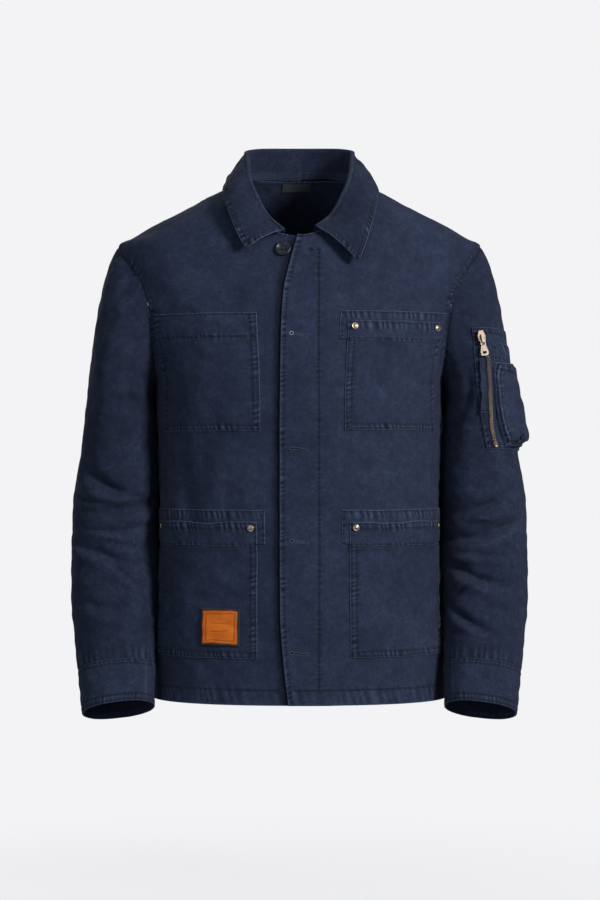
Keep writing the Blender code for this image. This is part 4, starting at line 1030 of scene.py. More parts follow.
@functools.lru_cache(None)
def dye_group():
    """Garment dye: cloudy colour, worn lighter on raised edges and pucker crests, and darkened with painted shade in
    the hollows of seams and the grooves of their stitch rows.
    """
    inputs = {
        "Colour": (0.02, 0.03, 0.06, 1),
        "Faded": (0.07, 0.10, 0.17, 1),
        "Deep": (0.01, 0.01, 0.03, 1),
        "Yarn": 0.5,
        "Clouds": 0.30,
        "Wear": 1.0,
    }
    tree, given, out = new_group("garment_dye", inputs, ("Colour", "Roughness"))
    place = place_on(tree)
    clouds = 0
    for scale, detail, share in ((8.0, 3.0, 0.55), (36.0, 4.0, 0.80), (130.0, 4.0, 0.95), (420.0, 3.0, 0.95)):
        cloud = math_node(tree, "SUBTRACT", noise(tree, place, scale, detail, 0.62), 0.5)
        clouds = math_node(tree, "ADD", clouds, times(tree, cloud, share))
    clouds = times(tree, clouds, given["Clouds"])
    rub = math_node(tree, "ADD", times(tree, noise(tree, place, 420.0, 3.0, 0.7), 1.6), 0.2)
    # the mesh's wear, with its painted shade below 0, times a rubbed noise
    worn = times(tree, times(tree, fade_and_shade_of(tree), rub), given["Wear"])
    yarn = times(tree, math_node(tree, "SUBTRACT", given["Yarn"], 0.85), 0.55)
    fade = math_node(tree, "ADD", math_node(tree, "ADD", clouds, worn), yarn)
    light = mix(tree, times(tree, fade, 1.0, clamp=True), given["Colour"], given["Faded"])
    # toward the deep navy: the darker clouds, and the painted shade
    dark = mix(tree, times(tree, fade, -1.6, clamp=True), light, given["Deep"])
    rough = math_node(tree, "ADD", 0.84, times(tree, fade, 0.10), clamp=True)
    feed(tree, out, {"Colour": dark, "Roughness": rough})
    return tree


@functools.lru_cache(None)
def patina_group():
    """Old metal: polished where it is rubbed, brown and rougher elsewhere."""
    inputs = {"Colour": (0.6, 0.5, 0.35, 1), "Tarnish": 0.5, "Scale": 700.0}
    tree, given, out = new_group("metal_patina", inputs, ("Colour", "Roughness", "Height"))
    spots = noise(tree, place_on(tree), given["Scale"], 5.0, 0.65)
    share = times(tree, ramp(tree, spots, 0.42, 3.2), given["Tarnish"])
    dark = mix(tree, 1.0, given["Colour"], (0.30, 0.23, 0.16, 1), "MULTIPLY")
    colour = mix(tree, share, given["Colour"], dark)
    feed(tree, out, {"Colour": colour, "Roughness": rising(tree, share, 0.27, 0.35), "Height": spots})
    return tree


def new_material(name, roughness=0.8, metallic=0.0):
    made = bpy.data.materials.new(name)
    made.use_nodes = True
    shader = made.node_tree.nodes["Principled BSDF"]
    feed(made.node_tree, shader, {"Roughness": roughness, "Metallic": metallic})
    return made, made.node_tree, shader


def bump(tree, height, distance):
    return add(tree, "ShaderNodeBump", {"Height": height, "Distance": distance, "Strength": 1.0}).outputs[0]


@functools.lru_cache(None)
def twill(name, colour, clouds=0.72, pitch=0.0009, wear_and_shade=1.0, angle=1.05):
    """Dyed twill: weave, clouds, seams worn pale with painted shade in their hollows and stitch rows, and a little
    sheen.
    """
    made, tree, shader = new_material(name)
    weave = add(tree, "ShaderNodeGroup", node_tree=twill_group())
    feed(tree, weave, {"Pitch": pitch, "Angle": angle})
    dye = add(tree, "ShaderNodeGroup", node_tree=dye_group())
    feed(tree, dye, {"Colour": (*colour, 1), "Faded": (*colours().faded, 1), "Deep": (*colours().deep, 1)})
    feed(tree, dye, {"Yarn": weave.outputs["Yarn"], "Clouds": clouds, "Wear": wear_and_shade})
    feed(tree, shader, {"Base Color": dye.outputs["Colour"], "Roughness": dye.outputs["Roughness"]})
    feed(tree, shader, {"Normal": bump(tree, weave.outputs["Height"], 0.00022)})
    feed(tree, shader, {"Specular IOR Level": 0.12, "Sheen Weight": 0.03, "Sheen Roughness": 0.5})
    return made


def navy_twill(shade=1.0):
    """The body's twill, or a darker copy of it, its colour times a shade: painted shade for a panel that lies in
    shade.
    """
    name = "navy_twill_cloth" if shade == 1 else f"navy_twill_cloth_{round(100 * shade)}"
    return twill(name, tuple(c * shade for c in colours().navy))


def tape_cloth():
    return twill("navy_tape_cloth", tuple(colours().tape), clouds=0.12, pitch=0.0013, wear_and_shade=0.4, angle=0.0)


def binding_cloth():
    return twill("dark_binding_cloth", tuple(colours().binding), clouds=0.08, pitch=0.0007, wear_and_shade=0.35, angle=0.0)


def label_cloth():
    """A plain woven label, a little greyer than the tape."""
    return twill("grey_label_weave", tuple(colours().label), clouds=0.05, pitch=0.0006, wear_and_shade=0.3, angle=0.0)


@functools.lru_cache(None)
def thread_cloth():
    """Cotton thread: soft, with colour that changes along the seam."""
    made, tree, shader = new_material("navy_thread", 0.75)
    place = place_on(tree)
    share = ramp(tree, noise(tree, place, 160.0, 4.0), 0.40, 2.2)
    ply = wave(tree, place, 500.0, 1.5, direction="DIAGONAL")
    colour = mix(tree, share, (*colours().thread, 1), (0.026, 0.037, 0.072, 1))
    feed(tree, shader, {"Base Color": colour, "Normal": bump(tree, ply, 0.00012), "Sheen Weight": 0.1})
    return made


@functools.lru_cache(None)
def mottled(name, low, high, scale, detail, roughness, grain=0.00010):
    """One stuff whose colour wanders between two, such as thread or the shade inside a hole."""
    made, tree, shader = new_material(name, roughness)
    cloud = noise(tree, place_on(tree), scale, detail)
    feed(tree, shader, {"Base Color": mix(tree, cloud, (*low, 1), (*high, 1))})
    if grain:
        feed(tree, shader, {"Normal": bump(tree, cloud, grain)})
    else:
        feed(tree, shader, {"Specular IOR Level": 0.1})
    return made


def pale_thread(name, low, high):
    return mottled(name, low, high, 380.0, 3.0, 0.7)


def dark_thread():
    return mottled("dark_thread", tuple(colours().binding), (0.022, 0.024, 0.034), 300.0, 3.0, 0.6)


def deep_shade():
    return mottled("deep_shade", (0.0015, 0.0018, 0.0030), (0.0040, 0.0048, 0.0080), 500.0, 2.0, 0.95, 0.0)


def leather():
    """Tan leather: fine grain, warmer and darker towards its rubbed edges."""
    made, tree, shader = new_material("tan_patch_leather", 0.55)
    place = place_on(tree)
    grain = add(tree, "ShaderNodeTexVoronoi", {"Vector": place, "Scale": 1300.0}, feature="F1").outputs["Distance"]
    cloud = noise(tree, place, 110.0, 6.0, 0.62)
    base = mix(tree, ramp(tree, cloud, 0.36, 2.6), (0.62, 0.135, 0.010, 1), (*colours().leather, 1))
    edge = mix(tree, times(tree, fade_and_shade_of(tree), 1.0, clamp=True), base, (0.115, 0.026, 0.008, 1))
    height = weighted(tree, (grain, 0.6), (cloud, 0.8))
    feed(tree, shader, {"Base Color": edge, "Roughness": rising(tree, cloud, 0.46, 0.25)})
    feed(tree, shader, {"Normal": bump(tree, height, 0.00016), "Specular IOR Level": 0.25})
    return made


@functools.lru_cache(None)
def brass(name, tarnish, colour):
    made, tree, shader = new_material(name, 0.35, 1.0)
    patina = add(tree, "ShaderNodeGroup", node_tree=patina_group())
    feed(tree, patina, {"Colour": (*colour, 1), "Tarnish": tarnish, "Scale": 520.0})
    feed(tree, shader, {"Base Color": patina.outputs["Colour"], "Roughness": patina.outputs["Roughness"]})
    feed(tree, shader, {"Normal": bump(tree, patina.outputs["Height"], 0.00005)})
    return made


@functools.lru_cache(None)
def button_resin():
    """Dark navy resin with a soft marble, shinier than the cloth."""
    made, tree, shader = new_material("navy_button_resin", 0.32)
    marble = noise(tree, place_on(tree), 190.0, 5.0, distortion=1.2)
    colour = mix(tree, marble, (*colours().button, 1), (0.012, 0.015, 0.026, 1))
    feed(tree, shader, {"Base Color": colour, "Roughness": rising(tree, marble, 0.24, 0.22)})
    feed(tree, shader, {"Normal": bump(tree, marble, 0.00004)})
    return made


# ---------------------------------------------------------------- the body's layers


def front_lines(side):
    """The left front's edges (side 1) or the right one's (-1), in order, anticlockwise on the flat."""
    table = LEFT_FRONT_EDGE if side > 0 else RIGHT_FRONT_EDGE
    seam, hole = side_line()
    shoulder, neck = top_line(float(column(table, NECK_FRONT, "out")))
    heights = np.linspace(neck[-1, 1], HEM, 170)
    edge = np.stack([across_at(column(table, heights, "out"), heights), heights], 1)
    edge[0] = neck[-1]
    hem = np.array([edge[-1], seam[0]])
    lines = {"hem": resample(hem, 0.004), "side": seam, "hole": hole, "shoulder": shoulder, "neck": neck, "edge": edge}
    return lines if side > 0 else {key: line[::-1] * (-1, 1) for key, line in reversed(lines.items())}


def around(lines):
    """The closed outline of some edges that follow one another."""
    return np.vstack([line[:-1] for line in lines.values()])


@functools.lru_cache(None)
def front_layer(side):
    lines = front_lines(side)
    seams = [
        Seam(lines["hem"], (HEM_TURN,), turned=HEM_TURN, pucker=0.5, length=1.5),
        Seam(lines["side"], EDGE_ROW, pucker=0.5),
        Seam(lines["hole"], DOUBLE_ROWS, turned=DOUBLE_TURN, pucker=0.7, edge=0.25),
        Seam(lines["shoulder"], (0.0016, 0.0070), turned=0.0078, pucker=0.6),
        Seam(lines["neck"], NECK_ROW, pucker=0.6),
        Seam(lines["edge"], (0.0052,), turned=0.0060, pucker=1.0),
    ]
    lift = front_lift if side > 0 else None
    if side < 0:  # painted shadow of the left front's lap, darker on the right front beside its edge
        heights = np.linspace(NECK_FRONT, HEM, 60)
        beside = np.stack([across_at(column(LEFT_FRONT_EDGE, heights, "out") - 0.0015, heights), heights], 1)
        seams.append(Seam(beside, (), pucker=0.0, edge=0.0, reach=0.0060, deep=0.9))
    else:
        seams.append(Seam(PLACKET_ROW, (0.0,), pucker=0.5, edge=0.0, reach=0.003))
        seams.append(Seam(((0.0215, -0.0955), (0.0075, -0.0990)), (0.0,), pucker=0.6, edge=0.0, reach=0.002))
    return Layer(lambda a, h: on_form(a, h, lift), seams=seams), lines


def back_place(across, height):
    return on_form(math.pi * girth(height) + across, height)


@functools.lru_cache(None)
def back_layer():
    seam, hole = side_line(back=True)
    shoulder, neck = top_line()
    halves = {}
    for key, line in (("side", seam), ("hole", hole), ("shoulder", shoulder), ("neck", neck)):
        left = np.stack([line[:, 0] - math.pi * girth(line[:, 1]), line[:, 1]], 1)
        halves[key] = (left[::-1], left * (-1, 1))
    hem = resample(np.array([halves["side"][0][-1], halves["side"][1][0]]), 0.004)
    lines = {"hem": hem}
    for key in ("side", "hole", "shoulder", "neck"):
        lines[key + "_right"] = halves[key][1]
    for key in ("neck", "shoulder", "hole", "side"):
        lines[key + "_left"] = halves[key][0]
    seams = [Seam(lines["hem"], (HEM_TURN,), turned=HEM_TURN, pucker=0.75, length=1.5)]
    for hand in ("left", "right"):
        seams.append(Seam(lines["side_" + hand], DOUBLE_ROWS, turned=DOUBLE_TURN, pucker=0.8))
        seams.append(Seam(lines["hole_" + hand], DOUBLE_ROWS, turned=DOUBLE_TURN, pucker=0.7, edge=0.25))
        seams.append(Seam(lines["shoulder_" + hand], (), pucker=0.5))
        seams.append(Seam(lines["neck_" + hand], NECK_ROW, pucker=0.5))
    return Layer(back_place, seams=seams), lines


# ---------------------------------------------------------------- sleeves


def ring_point(angle, run, inset_by):
    """A place on the arm: angle 0 is its inner side and pi/2 its front."""
    angle, run = np.broadcast_arrays(np.asarray(angle, float), np.asarray(run, float))
    row = {key: column(SLEEVE_RINGS, run, key, "run") for key in Ring._fields[1:]}
    s, c, reach = boxy(angle)
    pitch, roll = np.radians(row["pitch"]), np.radians(row["roll"])
    aside = np.stack([np.cos(roll), 0 * roll, -np.sin(roll)], -1)
    backward = np.stack([0 * pitch, np.cos(pitch), -np.sin(pitch)], -1)
    middle = np.stack([row["x"], row["y"], row["z"]], -1)
    wide = ((row["half_width"] - inset_by) * reach * c)[..., None]
    deep = ((row["half_depth"] - inset_by) * reach * s)[..., None]
    return middle - aside * wide - backward * deep


def hermite(a, b, leave, arrive, t):
    t2, t3 = t * t, t * t * t
    return a * (2 * t3 - 3 * t2 + 1) + leave * (t3 - 2 * t2 + t) + b * (3 * t2 - 2 * t3) + arrive * (t3 - t2)


def join_start(edge, out, beyond, leaving):
    turned, back = dot(leaving, out), -dot(leaving, beyond)
    aside = np.sqrt(np.maximum(0.0, 1 - back * back))
    raised = CLOTH / 2 * (1 + back) + JOIN_GAP * (1 - aside / np.where(back > 0.05, back, 1))
    raised = np.where(back > 0.05, np.maximum(raised, 0), 0)
    past = np.where(back < 0.9, JOIN_GAP + CLOTH / 2 * aside, JOIN_GAP * (1 - back) * 10)
    return edge + out * np.copysign(raised, turned) + beyond * past


def outward(places):
    """The way out at each point of a grid of places whose first index goes across and second one up."""
    across = np.gradient(places, axis=0)
    up = np.gradient(places, axis=1)
    return unit(np.cross(across, up))


def tube_outward(places):
    """The same for a tube whose rows go down the arm, and whose first and last columns are the same."""
    wrapped = np.concatenate([places[-2:-1], places, places[1:2]])
    return -outward(wrapped)[1:-1]


def arm_fade(across, height):
    inner = ease(0.0, 0.024, across) * ease(0.0, 0.05, ARM_GIRTH - across)
    return inner * ease(0.0, 0.05, CUFF_START + height)


class Arm:
    """A sleeve's middle surface on a grid of columns round the arm and rows down it, with its folds."""

    def __init__(self, folds, half=84, cap_rows=56, arm_rows=112):
        angles = np.linspace(0, math.pi, half + 1)
        turned = 2 * math.pi - angles[-2::-1]
        self.angles = np.concatenate([angles, turned])
        from_armpit = np.concatenate([angles, angles[-2::-1]])
        facing = np.concatenate([np.ones(len(angles)), -np.ones(len(turned))])
        front, back = armhole(angles), armhole(angles[-2::-1], back=True)
        a, h = np.concatenate([front[0], back[0]]), np.concatenate([front[1], back[1]])
        starts = on_form(a, h)
        starts[-1] = starts[0]
        leave = np.stack([column(CAP_LEAVING, from_armpit, key, "angle") for key in "xyz"], 1)
        leave = unit(leave * np.stack([facing**2, facing, facing**2], 1))
        out = way_out(on_form, a, h)
        out[0] = out[-1] = unit(np.array([1, 0, 0.1]))
        before = np.vstack([starts[-2:-1], starts[:-1]])
        after = np.vstack([starts[1:], starts[1:2]])
        beyond = unit(np.cross(after - before, out))
        end = ring_point(self.angles, 0.0, CLOTH / 2)
        down = unit(ring_point(self.angles, 0.02, CLOTH / 2) - end)
        strength = column(CAP_LEAVING, from_armpit, "strength", "angle")[:, None]
        start = starts + out * CLOTH / 2
        for _ in range(3):
            far = np.linalg.norm(end - start, axis=1, keepdims=True)
            first = hermite(start, end, leave * far * strength, down * far, CAP_STEP)
            start = join_start(starts + out * CLOTH / 2, out, beyond, unit(first - start))
        far = np.linalg.norm(end - start, axis=1, keepdims=True)
        shares = np.linspace(0, 1, cap_rows + 1)[None, :, None]
        cap = hermite(start[:, None], end[:, None], (leave * far * strength)[:, None], (down * far)[:, None], shares)
        runs = np.linspace(0, CUFF_START, arm_rows + 1)[1:]
        arm = ring_point(self.angles[:, None], runs[None, :], CLOTH / 2)
        places = np.concatenate([cap, arm], axis=1)
        across = self.angles / (2 * math.pi) * ARM_GIRTH
        on_arm = np.broadcast_to(-runs, (len(across), len(runs)))
        heights = np.concatenate([(1 - shares[0, :, 0])[None] * far, on_arm], 1)
        self.across = np.broadcast_to(across[:, None], heights.shape)
        self.heights, self.far, self.cap_rows, self.arm_rows = heights, far[:, 0], cap_rows, arm_rows
        outs = tube_outward(places)
        away = folds(self.across, heights) * arm_fade(self.across, heights)
        calm = ease(0.0, 0.02, far - heights) * ease(0.0, 0.03, CUFF_START + heights)
        calm = calm * (1 - 0.55 * bell((self.across - ARM_GIRTH / 2) / 0.045))
        away = away + crumple(places) * 1.4 * calm
        behind = bell((INNER_FULL - self.across) / 0.016) + bell((INNER_FULL - ARM_GIRTH - self.across) / 0.016)
        away = away + 0.0060 * behind * ease(0.030, 0.004, heights) * ease(-0.260, -0.150, heights)
        self.places = places + outs * away[..., None]
        self.outs = tube_outward(self.places)

    def at(self, across, height):
        """The inner face at flat places, between the points of the grid."""
        u = np.clip(across / ARM_GIRTH * (len(self.angles) - 1), 0, len(self.angles) - 1.001)
        i = u.astype(int)
        share = (u - i)[..., None]

        def row(k):
            on_cap = self.cap_rows * (1 - height / self.far[k])
            on_arm = self.cap_rows - height / CUFF_START * self.arm_rows
            v = np.clip(np.where(height > 0, on_cap, on_arm), 0, self.cap_rows + self.arm_rows - 1e-3)
            j = v.astype(int)
            t = (v - j)[..., None]
            inner = self.places - self.outs * CLOTH / 2
            return inner[k, j] * (1 - t) + inner[k, j + 1] * t

        return row(i) * (1 - share) + row(i + 1) * share


FINE_FOLDS_LEFT = (
    Crease(0.080, 0.020, 0.050, 0.012, -0.0022, 24),
    Crease(0.135, -0.160, 0.040, 0.008, -0.0026, 74),
    Crease(0.120, -0.205, 0.038, 0.007, -0.0024, 88),
    Crease(0.140, -0.262, 0.034, 0.007, -0.0020, 100),
    Crease(0.110, -0.150, 0.030, 0.007, 0.0018, 84),
    Crease(0.075, -0.212, 0.034, 0.007, 0.0018, 96),
    Crease(0.060, -0.255, 0.030, 0.007, -0.0022, 64),
    Crease(0.090, -0.318, 0.036, 0.008, -0.0018, 96),
)
FINE_FOLDS_RIGHT = (
    Crease(0.080, 0.020, 0.050, 0.012, -0.0022, 20),
    Crease(0.130, -0.125, 0.036, 0.008, -0.0026, 78),
    Crease(0.105, -0.168, 0.044, 0.007, -0.0026, 90),
    Crease(0.150, -0.192, 0.040, 0.007, -0.0020, 64),
    Crease(0.090, -0.182, 0.036, 0.007, 0.0018, 84),
    Crease(0.085, -0.232, 0.034, 0.007, -0.0022, 54),
    Crease(0.125, -0.248, 0.030, 0.007, -0.0020, 102),
    Crease(0.085, -0.312, 0.036, 0.008, -0.0018, 80),
)


@functools.lru_cache(None)
def arm(side):
    table = ARM_CREASES_LEFT + FINE_FOLDS_LEFT if side > 0 else ARM_CREASES_RIGHT + FINE_FOLDS_RIGHT

    def folds(a, h):
        away = folded(table, a, h)
        if side > 0:  # the zip pocket lies flat
            away = away * ease(0.020, 0.075, np.hypot((a - ZIP_POCKET_MIDDLE[0]) * 0.8, h - ZIP_POCKET_MIDDLE[1]))
        return away

    return Arm(folds)


def grid_triangles(columns, rows):
    index = np.arange(columns * rows).reshape(columns, rows)
    a, b, c, d = index[:-1, :-1], index[1:, :-1], index[1:, 1:], index[:-1, 1:]
    even = (np.add.outer(np.arange(columns - 1), np.arange(rows - 1)) % 2).astype(bool)
    one = np.where(even[..., None], np.stack([a, b, c], -1), np.stack([a, b, d], -1))
    two = np.where(even[..., None], np.stack([a, c, d], -1), np.stack([b, c, d], -1))
    return np.concatenate([one.reshape(-1, 3), two.reshape(-1, 3)])


def grid_cloth(name, places, outs, flat, low, high, fade, material, mirror=False, tube=False):
    """A walled piece from a grid, its faces moved out from a middle surface. A tube's ends are welded."""
    columns, rows = places.shape[:2]
    triangles = grid_triangles(columns, rows)
    if tube:
        triangles = triangles[:, ::-1]
    inner = (places + outs * low[..., None]).reshape(-1, 3)
    outer = (places + outs * high[..., None]).reshape(-1, 3)
    if mirror:
        inner, outer, triangles = inner * (-1, 1, 1), outer * (-1, 1, 1), triangles[:, ::-1]
    return walled(name, flat.reshape(-1, 2), triangles, inner, outer, material, fade.reshape(-1), rows * tube)


def tube_seams(along, rims, rows_at, pucker=0.8, start=0.0, edge=1.0):
    """(height, fade) on a tube from its seams: along is round it, rims the distances from each sewn edge."""
    high, fade = 0.0, 0.0
    for k, (rim, rows) in enumerate(zip(rims, rows_at)):
        seam = Seam(((start + k, 0.0), (start + k + 1, 0.0)), rows)
        ripple = seam.ripple(along + 0.3 * rim)
        # worn carries the seam's wear and painted shade together
        more, worn = sewn(rim, ripple, seam.reach, rows, pucker, edge)
        high, fade = high + more, fade + worn
    return high, fade


def rounded(rim):
    r = sizes().edge_round
    return r - np.sqrt(np.maximum(r * r - np.maximum(r - rim, 0) ** 2, 0))


def close_rows(line, first, last):
    """Rising numbers with more of them close to both ends."""
    return np.unique(np.concatenate([line, line[0] + np.array(first), line[-1] - np.array(last)]))


@functools.lru_cache(None)
def cuff_grid():
    angles = np.linspace(0, 2 * math.pi, 169)
    near_top = (0.0004, 0.0009, 0.0017, 0.0027, 0.0040, 0.0055, 0.0066, 0.0078)
    near_end = (0.0004, 0.0009, 0.0015, 0.0022, 0.0031, 0.0045, 0.0060, 0.0075, 0.0090, 0.0103)
    runs = close_rows(np.linspace(CUFF_START + SEAM_GAP, CUFF_END, 25), near_top, near_end)
    places = ring_point(angles[:, None], runs[None, :], CLOTH / 2)
    outs = tube_outward(places)
    calm = ease(0.0, 0.02, runs - CUFF_START)[None, :]
    places = places + outs * (crumple(places) * 0.8 * calm)[..., None]
    flat = np.stack(np.broadcast_arrays(angles[:, None] / (2 * math.pi) * ARM_GIRTH, -runs[None, :]), -1)
    return places, tube_outward(places), flat, runs


# ---------------------------------------------------------------- small solids


def placed(points, matrix):
    """Points given in a frame, in space."""
    matrix = np.array(matrix)
    return np.array(points) @ matrix[:3, :3].T + matrix[:3, 3]


def frame_on(layer, across, height, above, turn=0.0):
    """A frame on a layer's base: z is out and y up the cloth."""
    at = np.array([[across, height], [across, height + 0.01]])
    places = layer.place(at[:, 0], at[:, 1])
    out = way_out(layer.place, at[:, 0], at[:, 1])[0]
    up = places[1] - places[0]
    up = unit(up - out * float(up @ out))
    matrix = Matrix((np.cross(up, out), up, out)).transposed().to_4x4()
    return Matrix.Translation(Vector(places[0] + out * above)) @ matrix @ Matrix.Rotation(turn, 4, "Z")


def lathe_mesh(profile, where, sides):
    """Points and triangles of a solid turned from (radius, height) points about z."""
    points, rings = [], []
    for radius, height in profile:
        count = 1 if radius == 0 else sides
        turns = 2 * math.pi * np.arange(count) / sides
        rings.append(np.arange(count) + len(points))
        points += [(radius * math.cos(t), radius * math.sin(t), height) for t in turns]
    faces = []
    for low, high in zip(rings, rings[1:]):
        for k in range(sides):
            a, b = low[k % len(low)], low[(k + 1) % len(low)]
            c, d = high[(k + 1) % len(high)], high[k % len(high)]
            if a != b:
                faces.append((a, b, c))
            if c != d:
                faces.append((a, c, d))
    return placed(points, where), np.array(faces)


def joined(parts):
    """Several (points, triangles) as one."""
    starts = np.cumsum([0] + [len(points) for points, _ in parts])
    faces = [triangles + start for start, (_, triangles) in zip(starts, parts)]
    return np.vstack([points for points, _ in parts]), np.vstack(faces)


def finish_solid(name, parts, material, nodes="", sharp=40.0, smooth=True):
    """A small solid, or a set of threads, from its parts."""
    return on_jacket(new_mesh(name, *joined(parts), material, sharp=sharp, smooth=smooth), nodes)


# ---------------------------------------------------------------- pieces, one operator for each group


class JACKET_OT_fronts(bpy.types.Operator):
    """The two fronts with their placket, turned hems and stitches"""

    bl_idname = "jacket.fronts"
    bl_label = "Fronts"

    def execute(self, context):
        for side, hand in ((1, "left"), (-1, "right")):
            layer, lines = front_layer(side)
            rows = [inset(lines["hem"], HEM_TURN)]
            if side > 0:
                rows.append(np.array(PLACKET_ROW))
            name = "front_" + hand
            make_cloth(name + "_cloth", name, layer, around(lines), navy_twill(), rows=rows, held="hung")
            stitch_mesh("stitches_" + name, seam_rows(layer, trim=0.002))
        return {"FINISHED"}


class JACKET_OT_buttonholes(bpy.types.Operator):
    """The placket's four worked buttonholes, with their eyelets, and painted shade in their slits"""

    bl_idname = "jacket.buttonholes"
    bl_label = "Buttonholes"

    def execute(self, context):
        layer, _ = front_layer(1)
        threads, rings, slit_shades = [], [], []
        long = BUTTONHOLE_END - BUTTONHOLE_START
        way = unit(np.array([1.0, -0.14]))  # worn down towards the pockets
        aside = np.array([-way[1], way[0]])
        turns = np.arange(0, 2 * math.pi, 0.30)
        round_eye = np.stack([np.cos(turns), np.sin(turns)], 1)
        for height in BUTTONHOLE_HEIGHTS:
            eye = np.array([BUTTONHOLE_START + 0.0016, height])
            end = eye + way * long
            for k in np.arange(0.0022, long, 0.00062):
                for over in (aside, -aside):
                    at = eye + way * k + over * 0.00062
                    threads.append(layer.line_on(np.array([at - over * 0.0002, at + over * 0.0011]), 0.001))
            threads.append(layer.line_on(np.array([end + aside * 0.0016, end - aside * 0.0016]), 0.003))
            for spoke in round_eye:
                stitch = layer.line_on(np.array([eye + spoke * 0.0012, eye + spoke * 0.0026]), 0.002)
                (rings if height == BUTTONHOLE_HEIGHTS[0] else threads).append(stitch)
            # a dark solid in each slit and eye: painted shade for the inside of the hole
            slit = np.array([eye + aside * 0.0005, eye - aside * 0.0005, end - aside * 0.00042, end + aside * 0.00042])
            for outline in (slit, eye + round_eye * 0.00145):
                _, outer, out, _ = layer.points(outline)
                count = len(outline)
                fan = np.array([(0, k, k + 1) for k in range(1, count - 1)])
                wall = []
                for k in range(count):
                    n = (k + 1) % count
                    wall += [(k, k + count, n), (n, k + count, n + count)]
                points = np.vstack([outer + out * 0.00022, outer - out * 0.0006])
                slit_shades.append((points, np.vstack([fan, fan[:, ::-1] + count, wall])))
        worn = pale_thread("worn_thread", (0.030, 0.043, 0.080), (0.085, 0.115, 0.180))
        pale = pale_thread("pale_thread", (0.10, 0.13, 0.19), (0.42, 0.46, 0.52))
        for name, paths, material in (("buttonhole_threads", threads, worn), ("buttonhole_eyelets", rings, pale)):
            finish_solid(name, [purl(paths, 0.00036)], material, sharp=None)
        finish_solid("buttonhole_slits", slit_shades, deep_shade(), smooth=False)
        return {"FINISHED"}


class JACKET_OT_back(bpy.types.Operator):
    """The back panel with its side seams, and the plain label inside the neck"""

    bl_idname = "jacket.back"
    bl_label = "Back"

    def execute(self, context):
        layer, lines = back_layer()
        rows = [inset(lines["hem"], HEM_TURN)]
        more = {"rows": rows, "held": "hung", "spacing": {"coarse": 0.0056}}
        make_cloth("back_cloth", "back", layer, around(lines), navy_twill(), **more)
        stitch_mesh("stitches_back", seam_rows(layer, trim=0.002))
        label = Layer(back_place, low=-SEAM_GAP - LABEL_THICK, thick=LABEL_THICK, rounding=0.0003)
        close = {"fine": 0.001, "coarse": 0.002}
        make_cloth("neck_label_cloth", "neck_label", label, box(*LABEL), label_cloth(), "dark_binding", spacing=close)
        return {"FINISHED"}


class JACKET_OT_sleeves(bpy.types.Operator):
    """Both sleeves, with the folds at the elbow and forearm"""

    bl_idname = "jacket.sleeves"
    bl_label = "Sleeves"

    def execute(self, context):
        for side, name in ((1, "sleeve_left"), (-1, "sleeve_right")):
            made = arm(side)
            top, end = made.far[:, None] - made.heights, CUFF_START + made.heights
            along = made.across
            high, fade = tube_seams(along, (top,), ((0.0040,),), pucker=0.7, start=side, edge=0.25)
            # gathers above the cuff: crests worn paler, painted shade in their hollows
            gathers = Seam(((5.0, side), (6.0, side))).ripple(0.5 * along) * bell((end - 0.003) / 0.011)
            high, fade = high + 0.0009 * gathers, fade + 0.30 * gathers
            under = np.minimum(along, ARM_GIRTH - along)
            fade = fade + 0.30 * bell(under / 0.0012) - 0.2 * bell((under - 0.003) / 0.002)
            low = np.full(along.shape, -CLOTH / 2)
            high = high + CLOTH / 2 - rounded(end)
            flat = np.stack([along, made.heights], -1)
            # painted shade: the sleeves' twill is darker than the body's
            faces = (low, high, fade, navy_twill(0.78))
            piece = grid_cloth(name + "_cloth", made.places, made.outs, flat, *faces, mirror=side < 0, tube=True)
            settle(piece, name, "navy_twill", held="hung", size=(ARM_GIRTH, SLEEVE_LENGTH), area=SLEEVE_AREA)
        return {"FINISHED"}


class JACKET_OT_cuffs(bpy.types.Operator):
    """Both cuffs, stitched in two rows at each end"""

    bl_idname = "jacket.cuffs"
    bl_label = "Cuffs"

    def execute(self, context):
        places, outs, flat, runs = cuff_grid()
        along = flat[..., 0]
        rims = (np.broadcast_to(runs - runs[0], along.shape), np.broadcast_to(runs[-1] - runs, along.shape))
        rows_at = ((0.0017, 0.0066), (0.0022, 0.0090))
        high, fade = tube_seams(along, rims, rows_at, pucker=0.9, edge=0.6)
        seam_far = np.abs(along - CUFF_SEAM)
        high = high - ROW_SINK * bell(seam_far / 0.0009)
        fade = fade + 0.35 * bell((seam_far - 0.0012) / 0.0012)
        low = np.full(along.shape, -CLOTH / 2) + rounded(rims[1]) * 0.8
        high = high + CLOTH / 2 + 0.0004 - rounded(rims[0]) - rounded(rims[1])
        share = np.linspace(0, 1, 600) * (len(places) - 1)

        def round_the_arm(grid, k):
            line = np.stack([np.interp(share, np.arange(len(grid)), grid[:, k, c]) for c in range(3)], 1)
            return line * (side, 1, 1)

        for side, name in ((1, "cuff_left"), (-1, "cuff_right")):
            # painted shade: the cuffs' twill is a little darker than the body's
            faces = (low, high, fade, navy_twill(0.98))
            piece = grid_cloth(name + "_cloth", places, outs, flat, *faces, mirror=side < 0, tube=True)
            settle(piece, name, "navy_twill", held="hung", size=CUFF_FLAT, area=CUFF_FLAT[0] * CUFF_FLAT[1])
            paths = []
            for rim, rows, way in ((runs[0], rows_at[0], 1), (runs[-1], rows_at[1], -1)):
                for row in rows:
                    k = int(np.abs(runs - (rim + way * row)).argmin())
                    surface = places + outs * high[..., None]
                    paths.append((round_the_arm(surface, k), round_the_arm(outs, k)))
            stitch_mesh("stitches_" + name, paths)
        return {"FINISHED"}


# ---------------------------------------------------------------- collar

CHEST = Vector((0, 0, -0.3))  # a place inside the jacket
STAND_ROWS, ROLL_ROWS, FALL_ROWS = 9, 10, 42
FRONT_COLUMNS, BACK_COLUMNS = 92, 46  # in each half, before and behind the shoulder seam


